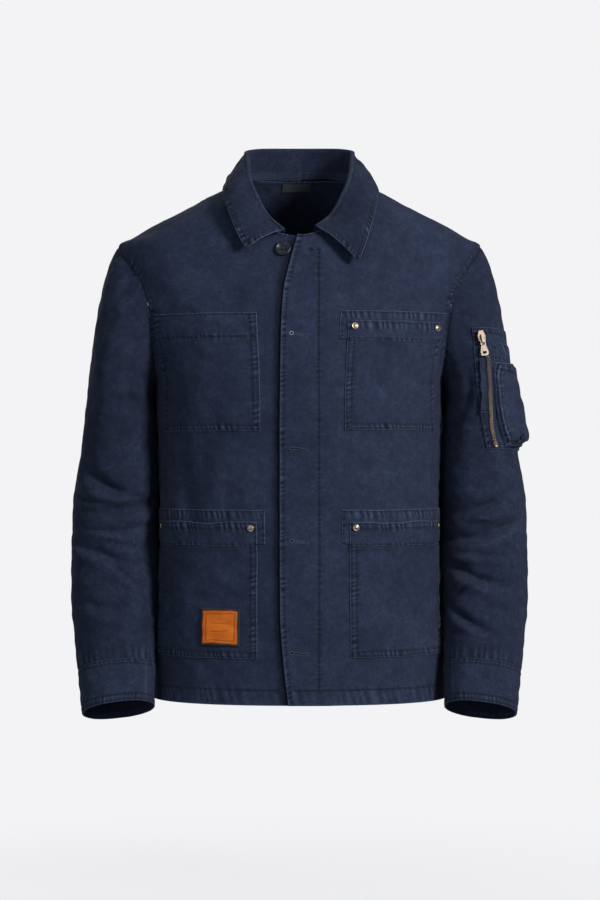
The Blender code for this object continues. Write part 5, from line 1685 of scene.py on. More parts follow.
def collar_half(table, lift):
    """The collar's middle surface from the front end to the centre back, as columns of rows."""
    spread = np.linspace(0, 1, FRONT_COLUMNS + 1) ** 1.4  # closer together at the front end
    shares = np.concatenate([COLLAR_SHOULDER * spread, np.linspace(COLLAR_SHOULDER, 1, BACK_COLUMNS + 1)[1:]])
    start = math.asin(COLLAR_END / NECK_HALF_WIDTH)
    seams = np.vstack(
        [
            np.stack(neckline(start + (math.pi / 2 - start) * spread), 1),
            np.stack(neckline(np.linspace(math.pi / 2, 0, BACK_COLUMNS + 1)[1:], back=True), 1),
        ]
    )
    folds = np.stack([column(table, shares, key, "share") for key in Turn._fields[1:4]], 1)
    edges = np.stack([column(table, shares, key, "share") for key in Turn._fields[4:]], 1)
    place = lambda a, h: on_form(a, h, lift)
    on_body = place(seams[:, 0], seams[:, 1])
    tangent, along = unit(np.gradient(folds, axis=0)), unit(np.gradient(on_body, axis=0))
    tangent[-1] = along[-1] = (-1, 0, 0)
    aside = folds * (1, 1, 0) + (0, 0.005, 0)
    aside = unit(aside - tangent * dot(tangent, aside))
    above = np.cross(tangent, aside)
    above = above * np.where(above[:, 2:] > 0, 1, -1)
    centre = folds - above * ROLL_RADIUS
    angles = np.linspace(0, math.pi, ROLL_ROWS + 1)[None, :, None]
    roll = centre[:, None] + ROLL_RADIUS * (above[:, None] * np.sin(angles) - aside[:, None] * np.cos(angles))
    out = way_out(place, seams[:, 0], seams[:, 1])
    beyond = unit(np.cross(out, along))
    beyond = beyond * np.where(beyond[:, 2:] > 0, 1, -1)
    middle = on_body + out * CLOTH / 2
    seam = join_start(middle, out, beyond, unit(roll[:, 0] - middle))
    t = np.linspace(0, 1, STAND_ROWS + 1)[None, :-1, None]
    stand = seam[:, None] + (roll[:, :1] - seam[:, None]) * t
    share = (1 - (1 - np.linspace(0, 1, FALL_ROWS + 1)) ** 1.6)[None, 1:, None]
    bow = unit(above + aside)[:, None] * LEAF_BOW
    fall = roll[:, -1:] + (edges[:, None] - roll[:, -1:]) * share + bow * 4 * share * (1 - share)
    return np.concatenate([stand, roll, fall], 1)


def lift_clear(points, trees, far):
    """Moves points out of the cloth under them, until they stand a distance off it."""
    for k in range(len(points)):
        point = Vector(points[k])
        for tree in trees:
            near, out, _, _ = tree.find_nearest(point, 0.02)
            if near is None:
                continue
            out = out if out.dot(point - CHEST) > 0 else -out
            above = (point - near).dot(out)
            if above < far and (point - near - out * above).length < 0.004:
                point = point + out * (far - above)
        points[k] = point
    return points


def smoothed(grid, share):
    """A grid with each column drawn a share of the way to the middle of its neighbours."""
    grid = grid.copy()
    grid[1:-1] += share * ((grid[:-2] + grid[2:]) / 2 - grid[1:-1])
    return grid


class JACKET_OT_collar(bpy.types.Operator):
    """The shirt collar that folds over itself, and the tape inside the neck"""

    bl_idname = "jacket.collar"
    bl_label = "Collar"

    def execute(self, context):
        left = collar_half(COLLAR_LEFT, front_lift)
        right = collar_half(COLLAR_RIGHT, None) * (-1, 1, 1)
        places = np.concatenate([right, left[-2::-1]])
        trees = []
        for name in ("front_left_cloth", "front_right_cloth", "back_cloth"):
            data = bpy.data.objects[name].data
            points = [v.co.copy() for v in data.vertices]
            near = {v.index for v in data.vertices if v.co.z > -0.16 and abs(v.co.x) < 0.15}
            faces = [tuple(p.vertices) for p in data.polygons if near.issuperset(p.vertices)]
            trees.append(BVHTree.FromPolygons(points, faces))
        first = STAND_ROWS + ROLL_ROWS + 1
        for step in (0.5, 0.5, 0.5, 0.5, 0.4, 0.0):
            fall = places[:, first:].copy()
            fall = lift_clear(fall.reshape(-1, 3), trees, CLOTH / 2 + COLLAR_CLEAR).reshape(fall.shape)
            for _ in range(6):
                fall = smoothed(fall, step)
            places[:, first:] = fall
        rows = places.shape[1]
        steps = np.linalg.norm(np.diff(places, axis=1), axis=2)
        down = np.concatenate([np.zeros((len(places), 1)), np.cumsum(steps, 1)], 1)
        across = run_along(places[:, -8])
        flat = np.stack([np.broadcast_to(across[:, None], down.shape), -down], -1)
        leaf = down[:, -1:] - down
        to_front = [np.cumsum(np.linalg.norm(np.diff(grid, axis=0), axis=2), 0) for grid in (places, places[::-1])]
        zero = np.zeros((1, rows))
        left_far = np.concatenate([zero, to_front[0]])
        right_far = np.concatenate([zero, to_front[1]])[::-1]
        front_far = np.minimum(left_far, right_far)
        on_fall = ease(first - 4, first + 2, np.arange(rows))[None, :]
        high, fade = 0.0, 0.0
        for rim, along in ((leaf, flat[..., 0]), (front_far, down + 0.4)):
            # worn carries the collar seams' wear and painted shade together
            more, worn = tube_seams(along, (rim,), (COLLAR_ROWS,), pucker=1.1)
            high, fade = high + more * on_fall, fade + worn * on_fall
        up, inward = unit(np.gradient(places, axis=1)), unit(np.gradient(places, axis=0))
        for far, way in ((left_far, 1), (right_far, -1)):
            u, v = np.clip(1 - leaf / COLLAR_TIP, 0, 1), np.clip(1 - far / COLLAR_TIP, 0, 1)
            rise = u * (1 - np.sqrt(1 - v * v / 2)) * on_fall
            aside = v * (1 - np.sqrt(1 - u * u / 2)) * on_fall
            places = places + COLLAR_TIP * (inward * way * aside[..., None] - up * rise[..., None])
        fold_far = np.abs(down - down[:, STAND_ROWS + ROLL_ROWS // 2][:, None])
        fade = fade + 0.20 * bell(fold_far / 0.003)
        outs = outward(places)
        calm = ease(0.0, 0.012, leaf) * on_fall
        soft = places + outs * (crumple(places * 1.3 + 0.4) * 1.1 * calm)[..., None]
        edge = rounded(leaf) + rounded(front_far)
        low = np.full(leaf.shape, -CLOTH / 2) + 0.5 * edge
        high = high + CLOTH / 2 + 0.0003 * on_fall - edge
        # painted shade: the collar's twill is darker than the body's
        piece = grid_cloth("collar_cloth", soft, outs, flat, low, high, fade, navy_twill(0.80))
        length = float(across[-1])
        width = float(np.median(down[:, -1]))
        settle(piece, "collar", "navy_twill", held="folded", size=(length, width), area=0.93 * length * width)
        paths = []
        for row in COLLAR_ROWS:
            line, ways = [], []
            surface = soft + outs * high[..., None]
            ends = int(np.searchsorted(left_far[:, -1], row)), int(np.searchsorted(-right_far[:, -1], -row))
            for i in range(ends[0], ends[1]):
                k = np.interp(down[i, -1] - row, down[i], np.arange(rows))
                j, t = min(int(k), rows - 2), k - int(k)
                line.append(surface[i, j] * (1 - t) + surface[i, j + 1] * t)
                ways.append(outs[i, j])
            paths.append((np.array(line), np.array(ways)))
            for table_far, flip in ((left_far, False), (right_far, True)):
                line, ways = [], []
                for j in range(first + 2, rows - 2):
                    column_far = table_far[::-1, j] if flip else table_far[:, j]
                    k = float(np.interp(row, column_far, np.arange(len(column_far))))
                    i = int(k)
                    t = k - i
                    a, b = (len(places) - 1 - i, len(places) - 2 - i) if flip else (i, i + 1)
                    line.append(surface[a, j] * (1 - t) + surface[b, j] * t)
                    ways.append(outs[a, j])
                paths.append((np.array(line), np.array(ways)))
        stitch_mesh("stitches_collar", paths)

        middle = len(places) // 2
        wide = slice(middle - BACK_COLUMNS, middle + BACK_COLUMNS + 1)
        share = np.linspace(0.015, 0.26, 9)
        foot, head = soft[wide, 0], soft[wide, STAND_ROWS]
        tape_places = foot[:, None] + (head - foot)[:, None] * share[None, :, None]
        tape_outs = np.repeat(outs[wide, 3][:, None], len(share), axis=1)
        tall = np.linalg.norm(head - foot, axis=1)[:, None] * share
        tape_flat = np.stack([np.broadcast_to(flat[wide, :1, 0], tall.shape), -tall], -1)
        rims = (tall - tall[:, :1], tall[:, -1:] - tall)
        rise, fade = tube_seams(tape_flat[..., 0], rims, ((0.0012,), (0.0012,)), pucker=0.8)
        low = np.full(tall.shape, CLOTH / 2 + SEAM_GAP)
        high = low + 0.0008 + rise
        tape = grid_cloth("neck_tape_cloth", tape_places, tape_outs, tape_flat, low, high, fade, tape_cloth())
        surface = tape_places + tape_outs * high[..., None]
        stitch_mesh("stitches_neck_tape", [(surface[:, k], tape_outs[:, k]) for k in (1, -2)])
        wide, tall = float(np.ptp(tape_flat[..., 0])), max(LEAST_SHEET, float(np.ptp(tape_flat[..., 1])))
        p = tape_places
        cells = np.linalg.norm(np.cross(p[1:, :-1] - p[:-1, :-1], p[:-1, 1:] - p[:-1, :-1]), axis=2)
        settle(tape, "neck_tape", "navy_tape", size=(wide, tall), area=min(float(cells.sum()), wide * tall))
        return {"FINISHED"}


# ---------------------------------------------------------------- pockets


def mouth_open(pocket, depth):
    """How far a pocket's mouth stands open, most at its middle."""

    def lift(across, height):
        middle = (pocket.inner + pocket.outer_top) / 2
        half = (pocket.outer_top - pocket.inner) / 2
        side = np.maximum(0.0, 1 - ((np.abs(across) - middle) / half) ** 2)
        return depth * side**1.5 * ease(pocket.top - 0.070, pocket.top, height)

    return lift


def on_side(corners, side):
    """Corners of the wearer's left (side 1), or their mirror image, anticlockwise too."""
    return np.array(corners if side > 0 else [(-x, z) for x, z in corners[::-1]])


def box(left, bottom, right, top, side=1):
    return on_side([(left, bottom), (right, bottom), (right, top), (left, top)], side)


def pocket_corners(pocket, low, high, side):
    slope = (pocket.outer_top - pocket.outer_bottom) / (pocket.top - pocket.bottom)
    outer_low = pocket.outer_bottom + slope * (low - pocket.bottom)
    outer_high = pocket.outer_bottom + slope * (high - pocket.bottom)
    return on_side([(pocket.inner, low), (outer_low, low), (outer_high, high), (pocket.inner, high)], side)


def edges_of(corners):
    """The four edges of a box of corners that starts at its lower left: bottom, right, top, left."""
    corners = np.asarray(corners)
    start = int(np.argmin(corners @ (1.0, 1.6)))
    corners = np.roll(corners, -start, axis=0)
    return [np.array([corners[k], corners[(k + 1) % 4]]) for k in range(4)]


def slack(pocket, depth=0.0011):
    """A pocket's own loose cloth: it stands off a little between its seams, with soft creases."""
    seed = int(1000 * (pocket.inner + abs(pocket.top)))

    def folds(a, h):
        middle = (pocket.inner + pocket.outer_top) / 2
        half = (pocket.outer_top - pocket.inner) / 2
        u = np.clip(1 - ((np.abs(a) - middle) / half) ** 2, 0, 1)
        tall = (pocket.top - pocket.bottom) / 2
        v = np.clip(1 - ((h - (pocket.top + pocket.bottom) / 2) / tall) ** 2, 0, 1)
        flat = np.stack([a, h], -1)
        return depth * np.sqrt(u * v) * (0.45 + 0.35 * waves(flat, 0.060, seed) + 0.16 * waves(flat, 0.024, seed + 1))

    return folds


def make_pocket(name, side, pocket, backing=None, depth=0.0):
    """A patch pocket, its band and its backing, with their stitches. Without a backing, pocket and band are one."""
    place = front_layer(side)[0].place
    front = "front_left_cloth" if side > 0 else "front_right_cloth"
    mouth, loose = mouth_open(pocket, depth), slack(pocket)
    base = CLOTH + SEAM_GAP
    behind = pocket.band + (0.0030 if depth else 0.0015)  # the backing's lower edge
    stitches = []

    def sew_on(nodes, low, thick, seams, corners, under, folds=None, rows=()):
        layer = Layer(place, low, thick, seams, folds=folds)
        make_cloth(nodes.split()[0] + "_cloth", nodes, layer, corners, navy_twill(), rows=rows, rests_on=[under])
        stitches.extend(seam_rows(layer, trim=0.0015))

    def low(a, h):
        over = 0.0 if backing is None else ease(behind - 0.012, behind - 0.0005, h)
        return base + over * (PATCH + SEAM_GAP) + mouth(a, h)

    top = pocket.top if backing is None else pocket.band - SEAM_GAP / 2
    corners = pocket_corners(pocket, pocket.bottom, top, side)
    bottom_edge, right_edge, top_edge, left_edge = edges_of(corners)
    sides = (bottom_edge, right_edge, left_edge)
    seams = [Seam(edge, POCKET_ROWS, turned=POCKET_TURN, pucker=0.95) for edge in sides]
    band = name.replace("pocket", "band")
    if backing is None:
        row = edges_of(pocket_corners(pocket, pocket.band - 0.0030, pocket.band - 0.0001, side))[0]
        seams += [Seam(top_edge, EDGE_ROW, pucker=0.5), Seam(row, (0.0,), pucker=0.8, edge=0.0, reach=0.003)]
        sew_on(name + " " + band, low, PATCH, seams, corners, front, loose, [row])
    else:
        sew_on(name, low, PATCH, seams, corners, front, loose)
        corners = pocket_corners(pocket, pocket.band + SEAM_GAP / 2, pocket.top, side)
        bottom_edge, right_edge, top_edge, left_edge = edges_of(corners)
        mouth_rows = (0.0017, 0.0080) if depth else BAND_ROW
        seams = [
            Seam(bottom_edge, BAND_ROW, pucker=0.8, length=1.2),
            Seam(top_edge, mouth_rows, pucker=1.1, length=1.1, reach=0.010),
            Seam(right_edge, EDGE_ROW, pucker=0.8),
            Seam(left_edge, EDGE_ROW, pucker=0.8),
        ]
        above = lambda a, h: base + PATCH + SEAM_GAP + mouth(a, h)
        sew_on(band, above, BAND_THICK, seams, corners, name + "_cloth", lambda a, h: BAND_SLACK * loose(a, h))
        _, right_edge, top_edge, left_edge = edges_of(backing)
        inner = left_edge if side > 0 else right_edge
        seams = [Seam(top_edge, EDGE_ROW, pucker=1.0, length=1.15, reach=0.010), Seam(inner, EDGE_ROW, pucker=0.9)]
        sew_on(name.replace("pocket", "backing"), base, PATCH, seams, backing, front)
    stitch_mesh("stitches_" + name, stitches)


class JACKET_OT_chest_pockets(bpy.types.Operator):
    """The plain chest pocket, and the banded one on its backing"""

    bl_idname = "jacket.chest_pockets"
    bl_label = "Chest pockets"

    def execute(self, context):
        make_pocket("chest_pocket_right", -1, CHEST_POCKET_RIGHT)
        p = CHEST_POCKET_LEFT
        low, high = p.band + 0.0015, p.top + CHEST_BACKING_RISE
        left = p.inner - BACKING_ASIDE
        right = []
        for height in (low, high):
            angle = np.array(math.acos((ARMHOLE_MIDDLE - height) / ARMHOLE_HALF_HEIGHT))
            right.append(float(armhole(angle)[0]) - 0.006)
        backing = np.array([(left, low), (right[0], low), (right[1], high), (left, high)])
        make_pocket("chest_pocket_left", 1, p, backing)
        return {"FINISHED"}


class JACKET_OT_hip_pockets(bpy.types.Operator):
    """The two banded hip pockets on their backings, their mouths a little open"""

    bl_idname = "jacket.hip_pockets"
    bl_label = "Hip pockets"

    def execute(self, context):
        for name, side, p in (("hip_pocket_right", -1, HIP_POCKET_RIGHT), ("hip_pocket_left", 1, HIP_POCKET_LEFT)):
            backing = box(p.inner - BACKING_ASIDE, p.band + 0.0030, 0.2500, p.top + BACKING_RISE, side)
            make_pocket(name, side, p, backing, MOUTH)
        return {"FINISHED"}


class JACKET_OT_leather_patch(bpy.types.Operator):
    """The leather patch on the right hip pocket: a plain tooled frame, sewn down by a dark border"""

    bl_idname = "jacket.leather_patch"
    bl_label = "Leather patch"

    def execute(self, context):
        place = front_layer(-1)[0].place
        x0, z0, x1, z1 = PATCH_CORNERS
        b = PATCH_BORDER
        loose = slack(HIP_POCKET_RIGHT)
        lift = lambda a, h: CLOTH + PATCH + 2 * SEAM_GAP + 0.0002 + loose(a, h)
        outer = box(x0 - b, z0 - b, x1 + b, z1 + b)
        border = Layer(place, lift, BORDER_THICK, [Seam(edge, (), pucker=0.2) for edge in edges_of(outer)], 0.0009)
        under = {"rests_on": ["hip_pocket_right_cloth"], "spacing": {"fine": 0.0010, "coarse": 0.003}}
        make_cloth("patch_border_cloth", "patch_border", border, outer, binding_cloth(), "dark_binding", **under)
        corners = box(x0, z0, x1, z1)
        rim = np.vstack([corners, corners[:1]])
        frame_line = inset(corners, TOOLED_INSET, closed=True)
        frame_line = np.vstack([frame_line, frame_line[:1]])
        middle = (x0 + x1) / 2

        def tooled(flat):
            """How deep the frame and the two rules are pressed in."""
            sunk = 0.00034 * bell(from_line(flat, frame_line)[0] / 0.00045)
            for share in TOOLED_RULES:
                beside = np.maximum(np.abs(flat[:, 0] - middle) - TOOLED_RULE_HALF, 0)
                sunk = sunk + 0.00026 * bell(np.hypot(beside, flat[:, 1] - (z0 + (z1 - z0) * share)) / 0.00040)
            return sunk

        def relief(flat):
            edge = 0.85 * np.exp(-from_line(flat, rim)[0] / 0.0011)
            return -tooled(flat), edge + np.clip(tooled(flat) / 0.00030, 0, 1) * 0.8

        hide = Layer(place, lambda a, h: lift(a, h) + 0.0009, LEATHER - 0.0004, rounding=0.0006)
        hide.relief = relief
        close = {"fine": 0.0006, "coarse": 0.00075, "rings": (0.0003, 0.0007)}
        over = {"rests_on": ["patch_border_cloth"], "spacing": close}
        make_cloth("leather_patch_hide", "leather_patch", hide, corners, leather(), "tan_leather", **over)
        paths = []
        top = Layer(place, lift, BORDER_THICK)
        ring = box(x0 - b / 2, z0 - b / 2, x1 + b / 2, z1 + b / 2)
        for start, end in zip(ring, np.roll(ring, -1, axis=0)):
            way = unit(end - start)
            aside = np.array([-way[1], way[0]])
            for k in np.arange(0, float(np.linalg.norm(end - start)), 0.00072):
                at = start + way * k
                stitch = np.array([at - aside * 0.00125, at + aside * 0.00165 + way * 0.0004])
                points, outs = top.line_on(stitch, 0.003)
                points = points + outs * np.linspace(0.0000, 0.00045, len(points))[:, None]
                paths.append((points, outs))
        threads = [purl(paths, 0.00042)]
        finish_solid("patch_border_threads", threads, dark_thread(), sharp=None)
        return {"FINISHED"}


class JACKET_OT_button(bpy.types.Operator):
    """The four-hole neck button, sewn on with crossed thread"""

    bl_idname = "jacket.button"
    bl_label = "Neck button"

    def execute(self, context):
        where = frame_on(front_layer(-1)[0], *BUTTON_PLACE, CLOTH + SEAM_GAP + 0.0003, turn=0.35)
        profile = [(r * BUTTON_RADIUS, h * BUTTON_THICK) for r, h in BUTTON_PROFILE]
        points, faces = lathe_mesh(profile, where, 56)
        button = new_mesh("neck_button", points, faces, button_resin(), sharp=60)
        cutters = []
        for x, y in ((1, 1), (-1, 1), (-1, -1), (1, -1)):
            hole = Matrix.Translation((x * 0.0017, y * 0.0017, -0.001))
            cutters.append(lathe_mesh([(0, 0), (0.00085, 0), (0.00085, 0.006), (0, 0.006)], where @ hole, 16))
        cutter = new_mesh("holes", *joined(cutters), button_resin(), smooth=False)
        cut = button.modifiers.new("holes", "BOOLEAN")
        cut.operation, cut.solver, cut.object = "DIFFERENCE", "EXACT", cutter
        graph = bpy.context.evaluated_depsgraph_get()
        button.data = bpy.data.meshes.new_from_object(button.evaluated_get(graph))
        button.modifiers.clear()
        bpy.data.objects.remove(cutter)
        on_jacket(button, "button_top")
        out = np.array([np.array(where)[:3, 2]] * 2)
        paths = []
        for a, b in (((1, 1), (-1, -1)), ((1, -1), (-1, 1))):
            for aside in (-0.00025, 0.00025):
                ends = [(x * 0.0019 + aside, y * 0.0019, 0.70 * BUTTON_THICK) for x, y in (a, b)]
                paths.append((placed(ends, where), out))
        finish_solid("button_threads", [purl(paths, 0.00036)], thread_cloth(), sharp=None)
        return {"FINISHED"}


class JACKET_OT_rivets(bpy.types.Operator):
    """The six domed rivets at the pocket corners"""

    bl_idname = "jacket.rivets"
    bl_label = "Rivets"

    def execute(self, context):
        foot = -0.0006
        profile = [(0, foot), (RIVET_RADIUS, foot)] + [(r * RIVET_RADIUS, h * RIVET_HEIGHT) for r, h in RIVET_PROFILE]
        above = CLOTH + PATCH + BAND_THICK + 3 * SEAM_GAP + 0.0004
        metal = brass("aged_brass_metal", 0.55, tuple(colours().brass))
        for name, side, pocket, depth in (
            ("chest_rivet", 1, CHEST_POCKET_LEFT, 0.0),
            ("hip_rivet_right", -1, HIP_POCKET_RIGHT, MOUTH),
            ("hip_rivet_left", 1, HIP_POCKET_LEFT, MOUTH),
        ):
            layer, _ = front_layer(side)
            loose, mouth = slack(pocket), mouth_open(pocket, depth)
            height = pocket.top - RIVET_INSET
            for end, across in (("_inner", pocket.inner + RIVET_INSET), ("_outer", pocket.outer_top - RIVET_INSET)):
                a, z = np.array(side * across), np.array(height)
                where = frame_on(layer, float(a), height, above + float(BAND_SLACK * loose(a, z) + mouth(a, z)))
                solid = [lathe_mesh(profile, where, 44)]
                finish_solid(name + end + "_cap", solid, metal, name + end, sharp=70)
        return {"FINISHED"}


# ---------------------------------------------------------------- the sleeve's zip pocket

Side = namedtuple("Side", "height across")
PEN_LEFT_EDGE = tuple(Side(h, a) for a, h in PEN_LEFT[::-1])
FLAP_LEFT_EDGE = tuple(Side(h, a) for a, h in (ZIP_FLAP[0], ZIP_FLAP[5], ZIP_FLAP[4]))


def pen_bulge(across, height):
    """How far the pen pocket's face stands off: two gusset folds on the left, rounded on the right and below."""
    far = across - column(PEN_LEFT_EDGE, height, "across")
    full = PEN_BULGE_TOP + (PEN_BULGE_LOW - PEN_BULGE_TOP) * ease(0.055, -0.030, height)
    aside = 0.25 * ease(0.0, 0.0014, far) + 0.30 * ease(0.0020, 0.0042, far) + 0.45 * ease(0.0042, 0.0260, far)
    aside = aside * (1 - ease(0.1800, 0.1935, across) ** 1.5)
    under = 0.40 * ease(-0.0450, -0.0425, height) + 0.60 * ease(-0.0405, -0.0350, height)
    hole = np.hypot(across - PEN_HOLE[0], (height - PEN_HOLE[1]) * 0.8)
    pinch = 0.0022 * bell((hole - 0.0055) / 0.0020) - 0.0030 * bell(hole / 0.0030)
    return full * aside * under + pinch


def tooth(where, wide, tall, high):
    """One zip tooth: a small block with sloped shoulders."""
    x, y = wide / 2, tall / 2
    corners = ((-1, -1), (1, -1), (1, 1), (-1, 1))
    points = [(u * x, v * y, 0) for u, v in corners] + [(u * x * 0.82, v * y * 0.6, high) for u, v in corners]
    faces = [(0, 2, 1), (0, 3, 2), (4, 5, 6), (4, 6, 7)]
    for k in range(4):
        n = (k + 1) % 4
        faces += [(k, n, 4 + n), (k, 4 + n, 4 + k)]
    return placed(points, where), np.array(faces)


class JACKET_OT_zip_pocket(bpy.types.Operator):
    """The zip pocket on the left sleeve, with its flap, its brass teeth and the pen pocket beside it"""

    bl_idname = "jacket.zip_pocket"
    bl_label = "Sleeve pocket"

    def execute(self, context):
        place = arm(1).at
        base = CLOTH + SEAM_GAP
        stitches = []

        def lay(name, corners, low, thick, seams, material=None, slot="navy_twill", **more):
            layer = Layer(place, low, thick, seams)
            more["rests_on"] = ["sleeve_left_cloth"]
            make_cloth(name + "_cloth", name, layer, np.array(corners), material or navy_twill(), slot, **more)
            stitches.extend(seam_rows(layer, trim=0.001))

        left = np.array(PATCH_LEFT)
        rest = np.vstack([left[-1:], PATCH_REST, left[:1]])
        seams = [Seam(e, (0.0017, 0.0070), turned=0.0078, pucker=0.8) for e in (left, rest[:3], rest[3:])]
        lay("sleeve_patch", np.vstack([left, PATCH_REST]), base, PATCH, seams)

        base += PATCH + SEAM_GAP
        path = np.array(ZIP_PATH)
        outline = np.vstack([inset(path, -TAPE_RIGHT), inset(path, TAPE_LEFT)[::-1]])
        close = {"fine": 0.0015, "coarse": 0.0025}
        lay("zip_tape", outline, base, 0.0009, [], tape_cloth(), "navy_tape", spacing=close)

        def flap_low(a, h):
            return base + 0.0024 * ease(0.0062, 0.0, a - column(FLAP_LEFT_EDGE, h, "across"))

        flap = np.array(ZIP_FLAP)
        # the flap's free edge, beside the zip, darkened as painted shade
        free_edge = Seam(flap[1:4], (), pucker=0.0, edge=0.0, deep=0.5, reach=0.002)
        seams = [Seam(flap[:2], (0.0026,), pucker=0.5), free_edge]
        lay("zip_flap", flap, flap_low, PATCH, seams, spacing={"fine": 0.0012})

        low_edge, _, high_edge, left_edge = edges_of(PEN_BAND)
        seams = [Seam(low_edge, BAND_ROW, pucker=0.8), Seam(high_edge, BAND_ROW, pucker=1.2, reach=0.010)]
        lay("pen_band", PEN_BAND, base, BAND_THICK, seams + [Seam(left_edge, EDGE_ROW, pucker=0.7)])

        left = np.array(PEN_LEFT)
        crest = inset(left, 0.0046)
        seams = [
            Seam(left, (), pucker=0.3),
            Seam(crest, EDGE_ROW, pucker=0.5, reach=0.003),
            Seam((PEN_REST[-1], left[0]), COLLAR_ROWS, turned=0.0075, pucker=0.9),
            Seam(((0.1440, -0.0375), (0.1640, -0.0375)), (0.0016,), pucker=0.5, reach=0.003),
        ]
        rows = [crest] + [np.array(row) for row in PEN_LOW_FOLDS]

        def face(a, h):
            crease = bell((a - 0.158 - 0.10 * (0.05 - h)) / 0.0022) * ease(0.045, 0.0, h)
            soft = 0.0008 * waves(np.stack([a, h], -1), 0.026, 9) + 0.0009 * crease
            return base + pen_bulge(a, h) + soft * ease(0.004, 0.012, a - column(PEN_LEFT_EDGE, h, "across"))

        more = {"rows": rows, "spacing": {"fine": 0.0013, "coarse": 0.0026}, "size": PEN_FLAT, "area": PEN_AREA}
        lay("pen_pocket", np.vstack([left, PEN_REST]), face, PATCH, seams, **more)
        stitch_mesh("stitches_sleeve_pocket", stitches)

        path = resample(path, 0.00132)
        arm_layer = Layer(place)
        parts = []
        for k, (at, after) in enumerate(zip(path[:-1], path[1:])):
            turn = math.atan2(after[1] - at[1], after[0] - at[0]) - math.pi / 2
            where = frame_on(arm_layer, at[0], at[1], base + 0.0010, turn)
            shift = Matrix.Translation((0.00125 if k % 2 else -0.00125, 0, 0))
            parts.append(tooth(where @ shift, 0.0027, 0.00095, 0.0016))
        stop = frame_on(arm_layer, path[0][0] + 0.0006, path[0][1] - 0.0018, base + 0.0010)
        parts.append(tooth(stop, 0.0046, 0.0034, 0.0020))
        metal = brass("zip_teeth_metal", 0.25, tuple(colours().zip_teeth))
        finish_solid("zip_teeth", parts, metal, smooth=False)

        # a dark solid in the pen pocket's hole: painted shade for its inside
        lift = base + float(pen_bulge(*np.array(PEN_HOLE))) + PATCH
        hole = frame_on(arm_layer, *PEN_HOLE, lift) @ Matrix.Diagonal((1.0, 1.35, 1.0, 1.0))
        dark = [(0, -0.0006), (0.0024, -0.0006), (0.0026, 0.0018), (0, 0.0018)]
        finish_solid("pen_pocket_hole", [lathe_mesh(dark, hole, 28)], deep_shade())

        metal = brass("zip_slider_metal", 0.95, tuple(colours().zip_slider))
        for name in ("zip_slider", "zip_pull"):
            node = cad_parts[name]
            node.data.materials.clear()
            node.data.materials.append(metal)
            worn = node.modifiers.new("worn edges", "BEVEL")
            worn.width, worn.segments, worn.limit_method, worn.angle_limit = 0.00028, 2, "ANGLE", math.radians(35)
        return {"FINISHED"}


# ---------------------------------------------------------------- studio


IMAGE_SIZE = (600, 900)
MIDDLE_COLUMN = 299.5  # the image's column that shows the jacket's middle plane


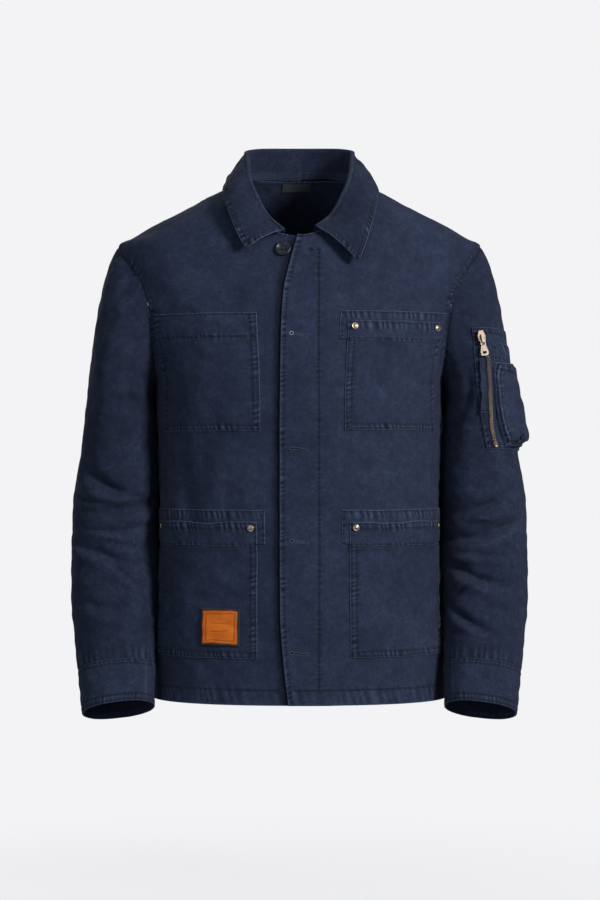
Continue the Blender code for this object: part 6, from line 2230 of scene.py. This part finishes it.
class JACKET_OT_studio(bpy.types.Operator):
    """Pale floor, soft lights, pale surroundings and the camera"""

    bl_idname = "jacket.studio"
    bl_label = "Studio"

    def execute(self, context):
        given = context.scene.jacket_studio
        scene = context.scene
        scene.view_settings.view_transform = "Standard"
        world = scene.world or bpy.data.worlds.new("studio")
        scene.world = world
        world.use_nodes = True
        tree = world.node_tree
        tree.nodes.clear()
        seen = add(tree, "ShaderNodeBackground", {"Color": (*given.backdrop, 1), "Strength": 1.0})
        light = add(tree, "ShaderNodeBackground", {"Color": (0.90, 0.93, 1.0, 1), "Strength": 0.20})
        ray = add(tree, "ShaderNodeLightPath").outputs["Is Camera Ray"]
        both = add(tree, "ShaderNodeMixShader", {0: ray, 1: light.outputs[0], 2: seen.outputs[0]})
        out = add(tree, "ShaderNodeOutputWorld")
        tree.links.new(both.outputs[0], out.inputs[0])

        at = (0, 0, given.floor_height)
        bpy.ops.mesh.primitive_circle_add(vertices=96, radius=2.2, fill_type="NGON", location=at)
        floor = context.object
        floor.name = "studio_floor"
        made, tree, shader = new_material("pale_floor", 0.9)
        shader.inputs["Base Color"].default_value = (0.90, 0.90, 0.91, 1)
        far = add(tree, "ShaderNodeVectorMath", {0: place_on(tree)}, operation="LENGTH").outputs["Value"]
        span = {0: far, 1: 0.10, 2: 1.0, 3: 0.86, 4: 1.0}
        share = add(tree, "ShaderNodeMapRange", span, interpolation_type="SMOOTHSTEP").outputs[0]
        clear = add(tree, "ShaderNodeBsdfTransparent")
        blend = add(tree, "ShaderNodeMixShader", {0: share, 1: shader.outputs[0], 2: clear.outputs[0]})
        end = next(n for n in tree.nodes if n.type == "OUTPUT_MATERIAL")
        tree.links.new(blend.outputs[0], end.inputs[0])
        floor.data.materials.append(made)

        for name, place_at, aim, size, power, colour in (
            ("key", (2.2, -2.3, 0.85), (0.0, 0.0, -0.32), 0.9, given.key, (1.0, 0.985, 0.97)),
            ("fill", (-1.6, -2.6, 0.1), (0.0, 0.0, -0.35), 2.2, given.fill, (0.94, 0.96, 1.0)),
            ("above", (0.1, -0.9, 2.1), (0.0, 0.0, -0.2), 1.2, 0.25 * given.fill, (1.0, 1.0, 1.0)),
            ("behind", (-1.2, 2.8, 1.1), (0.0, 0.0, -0.30), 2.0, given.rim, (0.95, 0.98, 1.0)),
        ):
            lamp = bpy.data.lights.new(name, "AREA")
            lamp.shape, lamp.size, lamp.energy, lamp.color = "DISK", size, power, colour
            holder = bpy.data.objects.new(name, lamp)
            holder.location = place_at
            holder.rotation_euler = (Vector(aim) - Vector(place_at)).to_track_quat("-Z", "Y").to_euler()
            scene.collection.objects.link(holder)

        eye = bpy.data.cameras.new("camera")
        eye.sensor_width, eye.lens = 36, 96.97
        eye.shift_x = (IMAGE_SIZE[0] / 2 - MIDDLE_COLUMN) / IMAGE_SIZE[1]
        holder = bpy.data.objects.new("camera", eye)
        holder.location = (0, -3.2, -0.352)
        holder.rotation_euler = (math.radians(90), 0, 0)
        scene.collection.objects.link(holder)
        scene.camera = holder
        return {"FINISHED"}


PIECES = (
    JACKET_OT_fronts,
    JACKET_OT_buttonholes,
    JACKET_OT_back,
    JACKET_OT_sleeves,
    JACKET_OT_cuffs,
    JACKET_OT_collar,
    JACKET_OT_chest_pockets,
    JACKET_OT_hip_pockets,
    JACKET_OT_leather_patch,
    JACKET_OT_button,
    JACKET_OT_rivets,
    JACKET_OT_zip_pocket,
    JACKET_OT_studio,
)


class JACKET_PT_pieces(bpy.types.Panel):
    """Lists the jacket's pieces and its settings in the sidebar"""

    bl_idname = "JACKET_PT_pieces"
    bl_label = "Work Jacket"
    bl_space_type = "VIEW_3D"
    bl_region_type = "UI"
    bl_category = "Jacket"

    def draw(self, context):
        for piece in PIECES:
            self.layout.operator(piece.bl_idname)
        for settings in (context.scene.jacket_sizes, context.scene.jacket_colours, context.scene.jacket_studio):
            column_of = self.layout.column()
            for key in settings.bl_rna.properties.keys():
                if key not in ("rna_type", "name"):
                    column_of.prop(settings, key)


CLASSES = (JacketSizes, JacketColours, StudioSettings, *PIECES, JACKET_PT_pieces)


def register():
    for made in CLASSES:
        bpy.utils.register_class(made)
    bpy.types.Scene.jacket_sizes = bpy.props.PointerProperty(type=JacketSizes)
    bpy.types.Scene.jacket_colours = bpy.props.PointerProperty(type=JacketColours)
    bpy.types.Scene.jacket_studio = bpy.props.PointerProperty(type=StudioSettings)


def unregister():
    for key in ("jacket_sizes", "jacket_colours", "jacket_studio"):
        delattr(bpy.types.Scene, key)
    for made in reversed(CLASSES):
        bpy.utils.unregister_class(made)


def main():
    register()
    for piece in PIECES:
        group, name = piece.bl_idname.split(".")
        getattr(getattr(bpy.ops, group), name)()


if __name__ == "__main__":
    main()
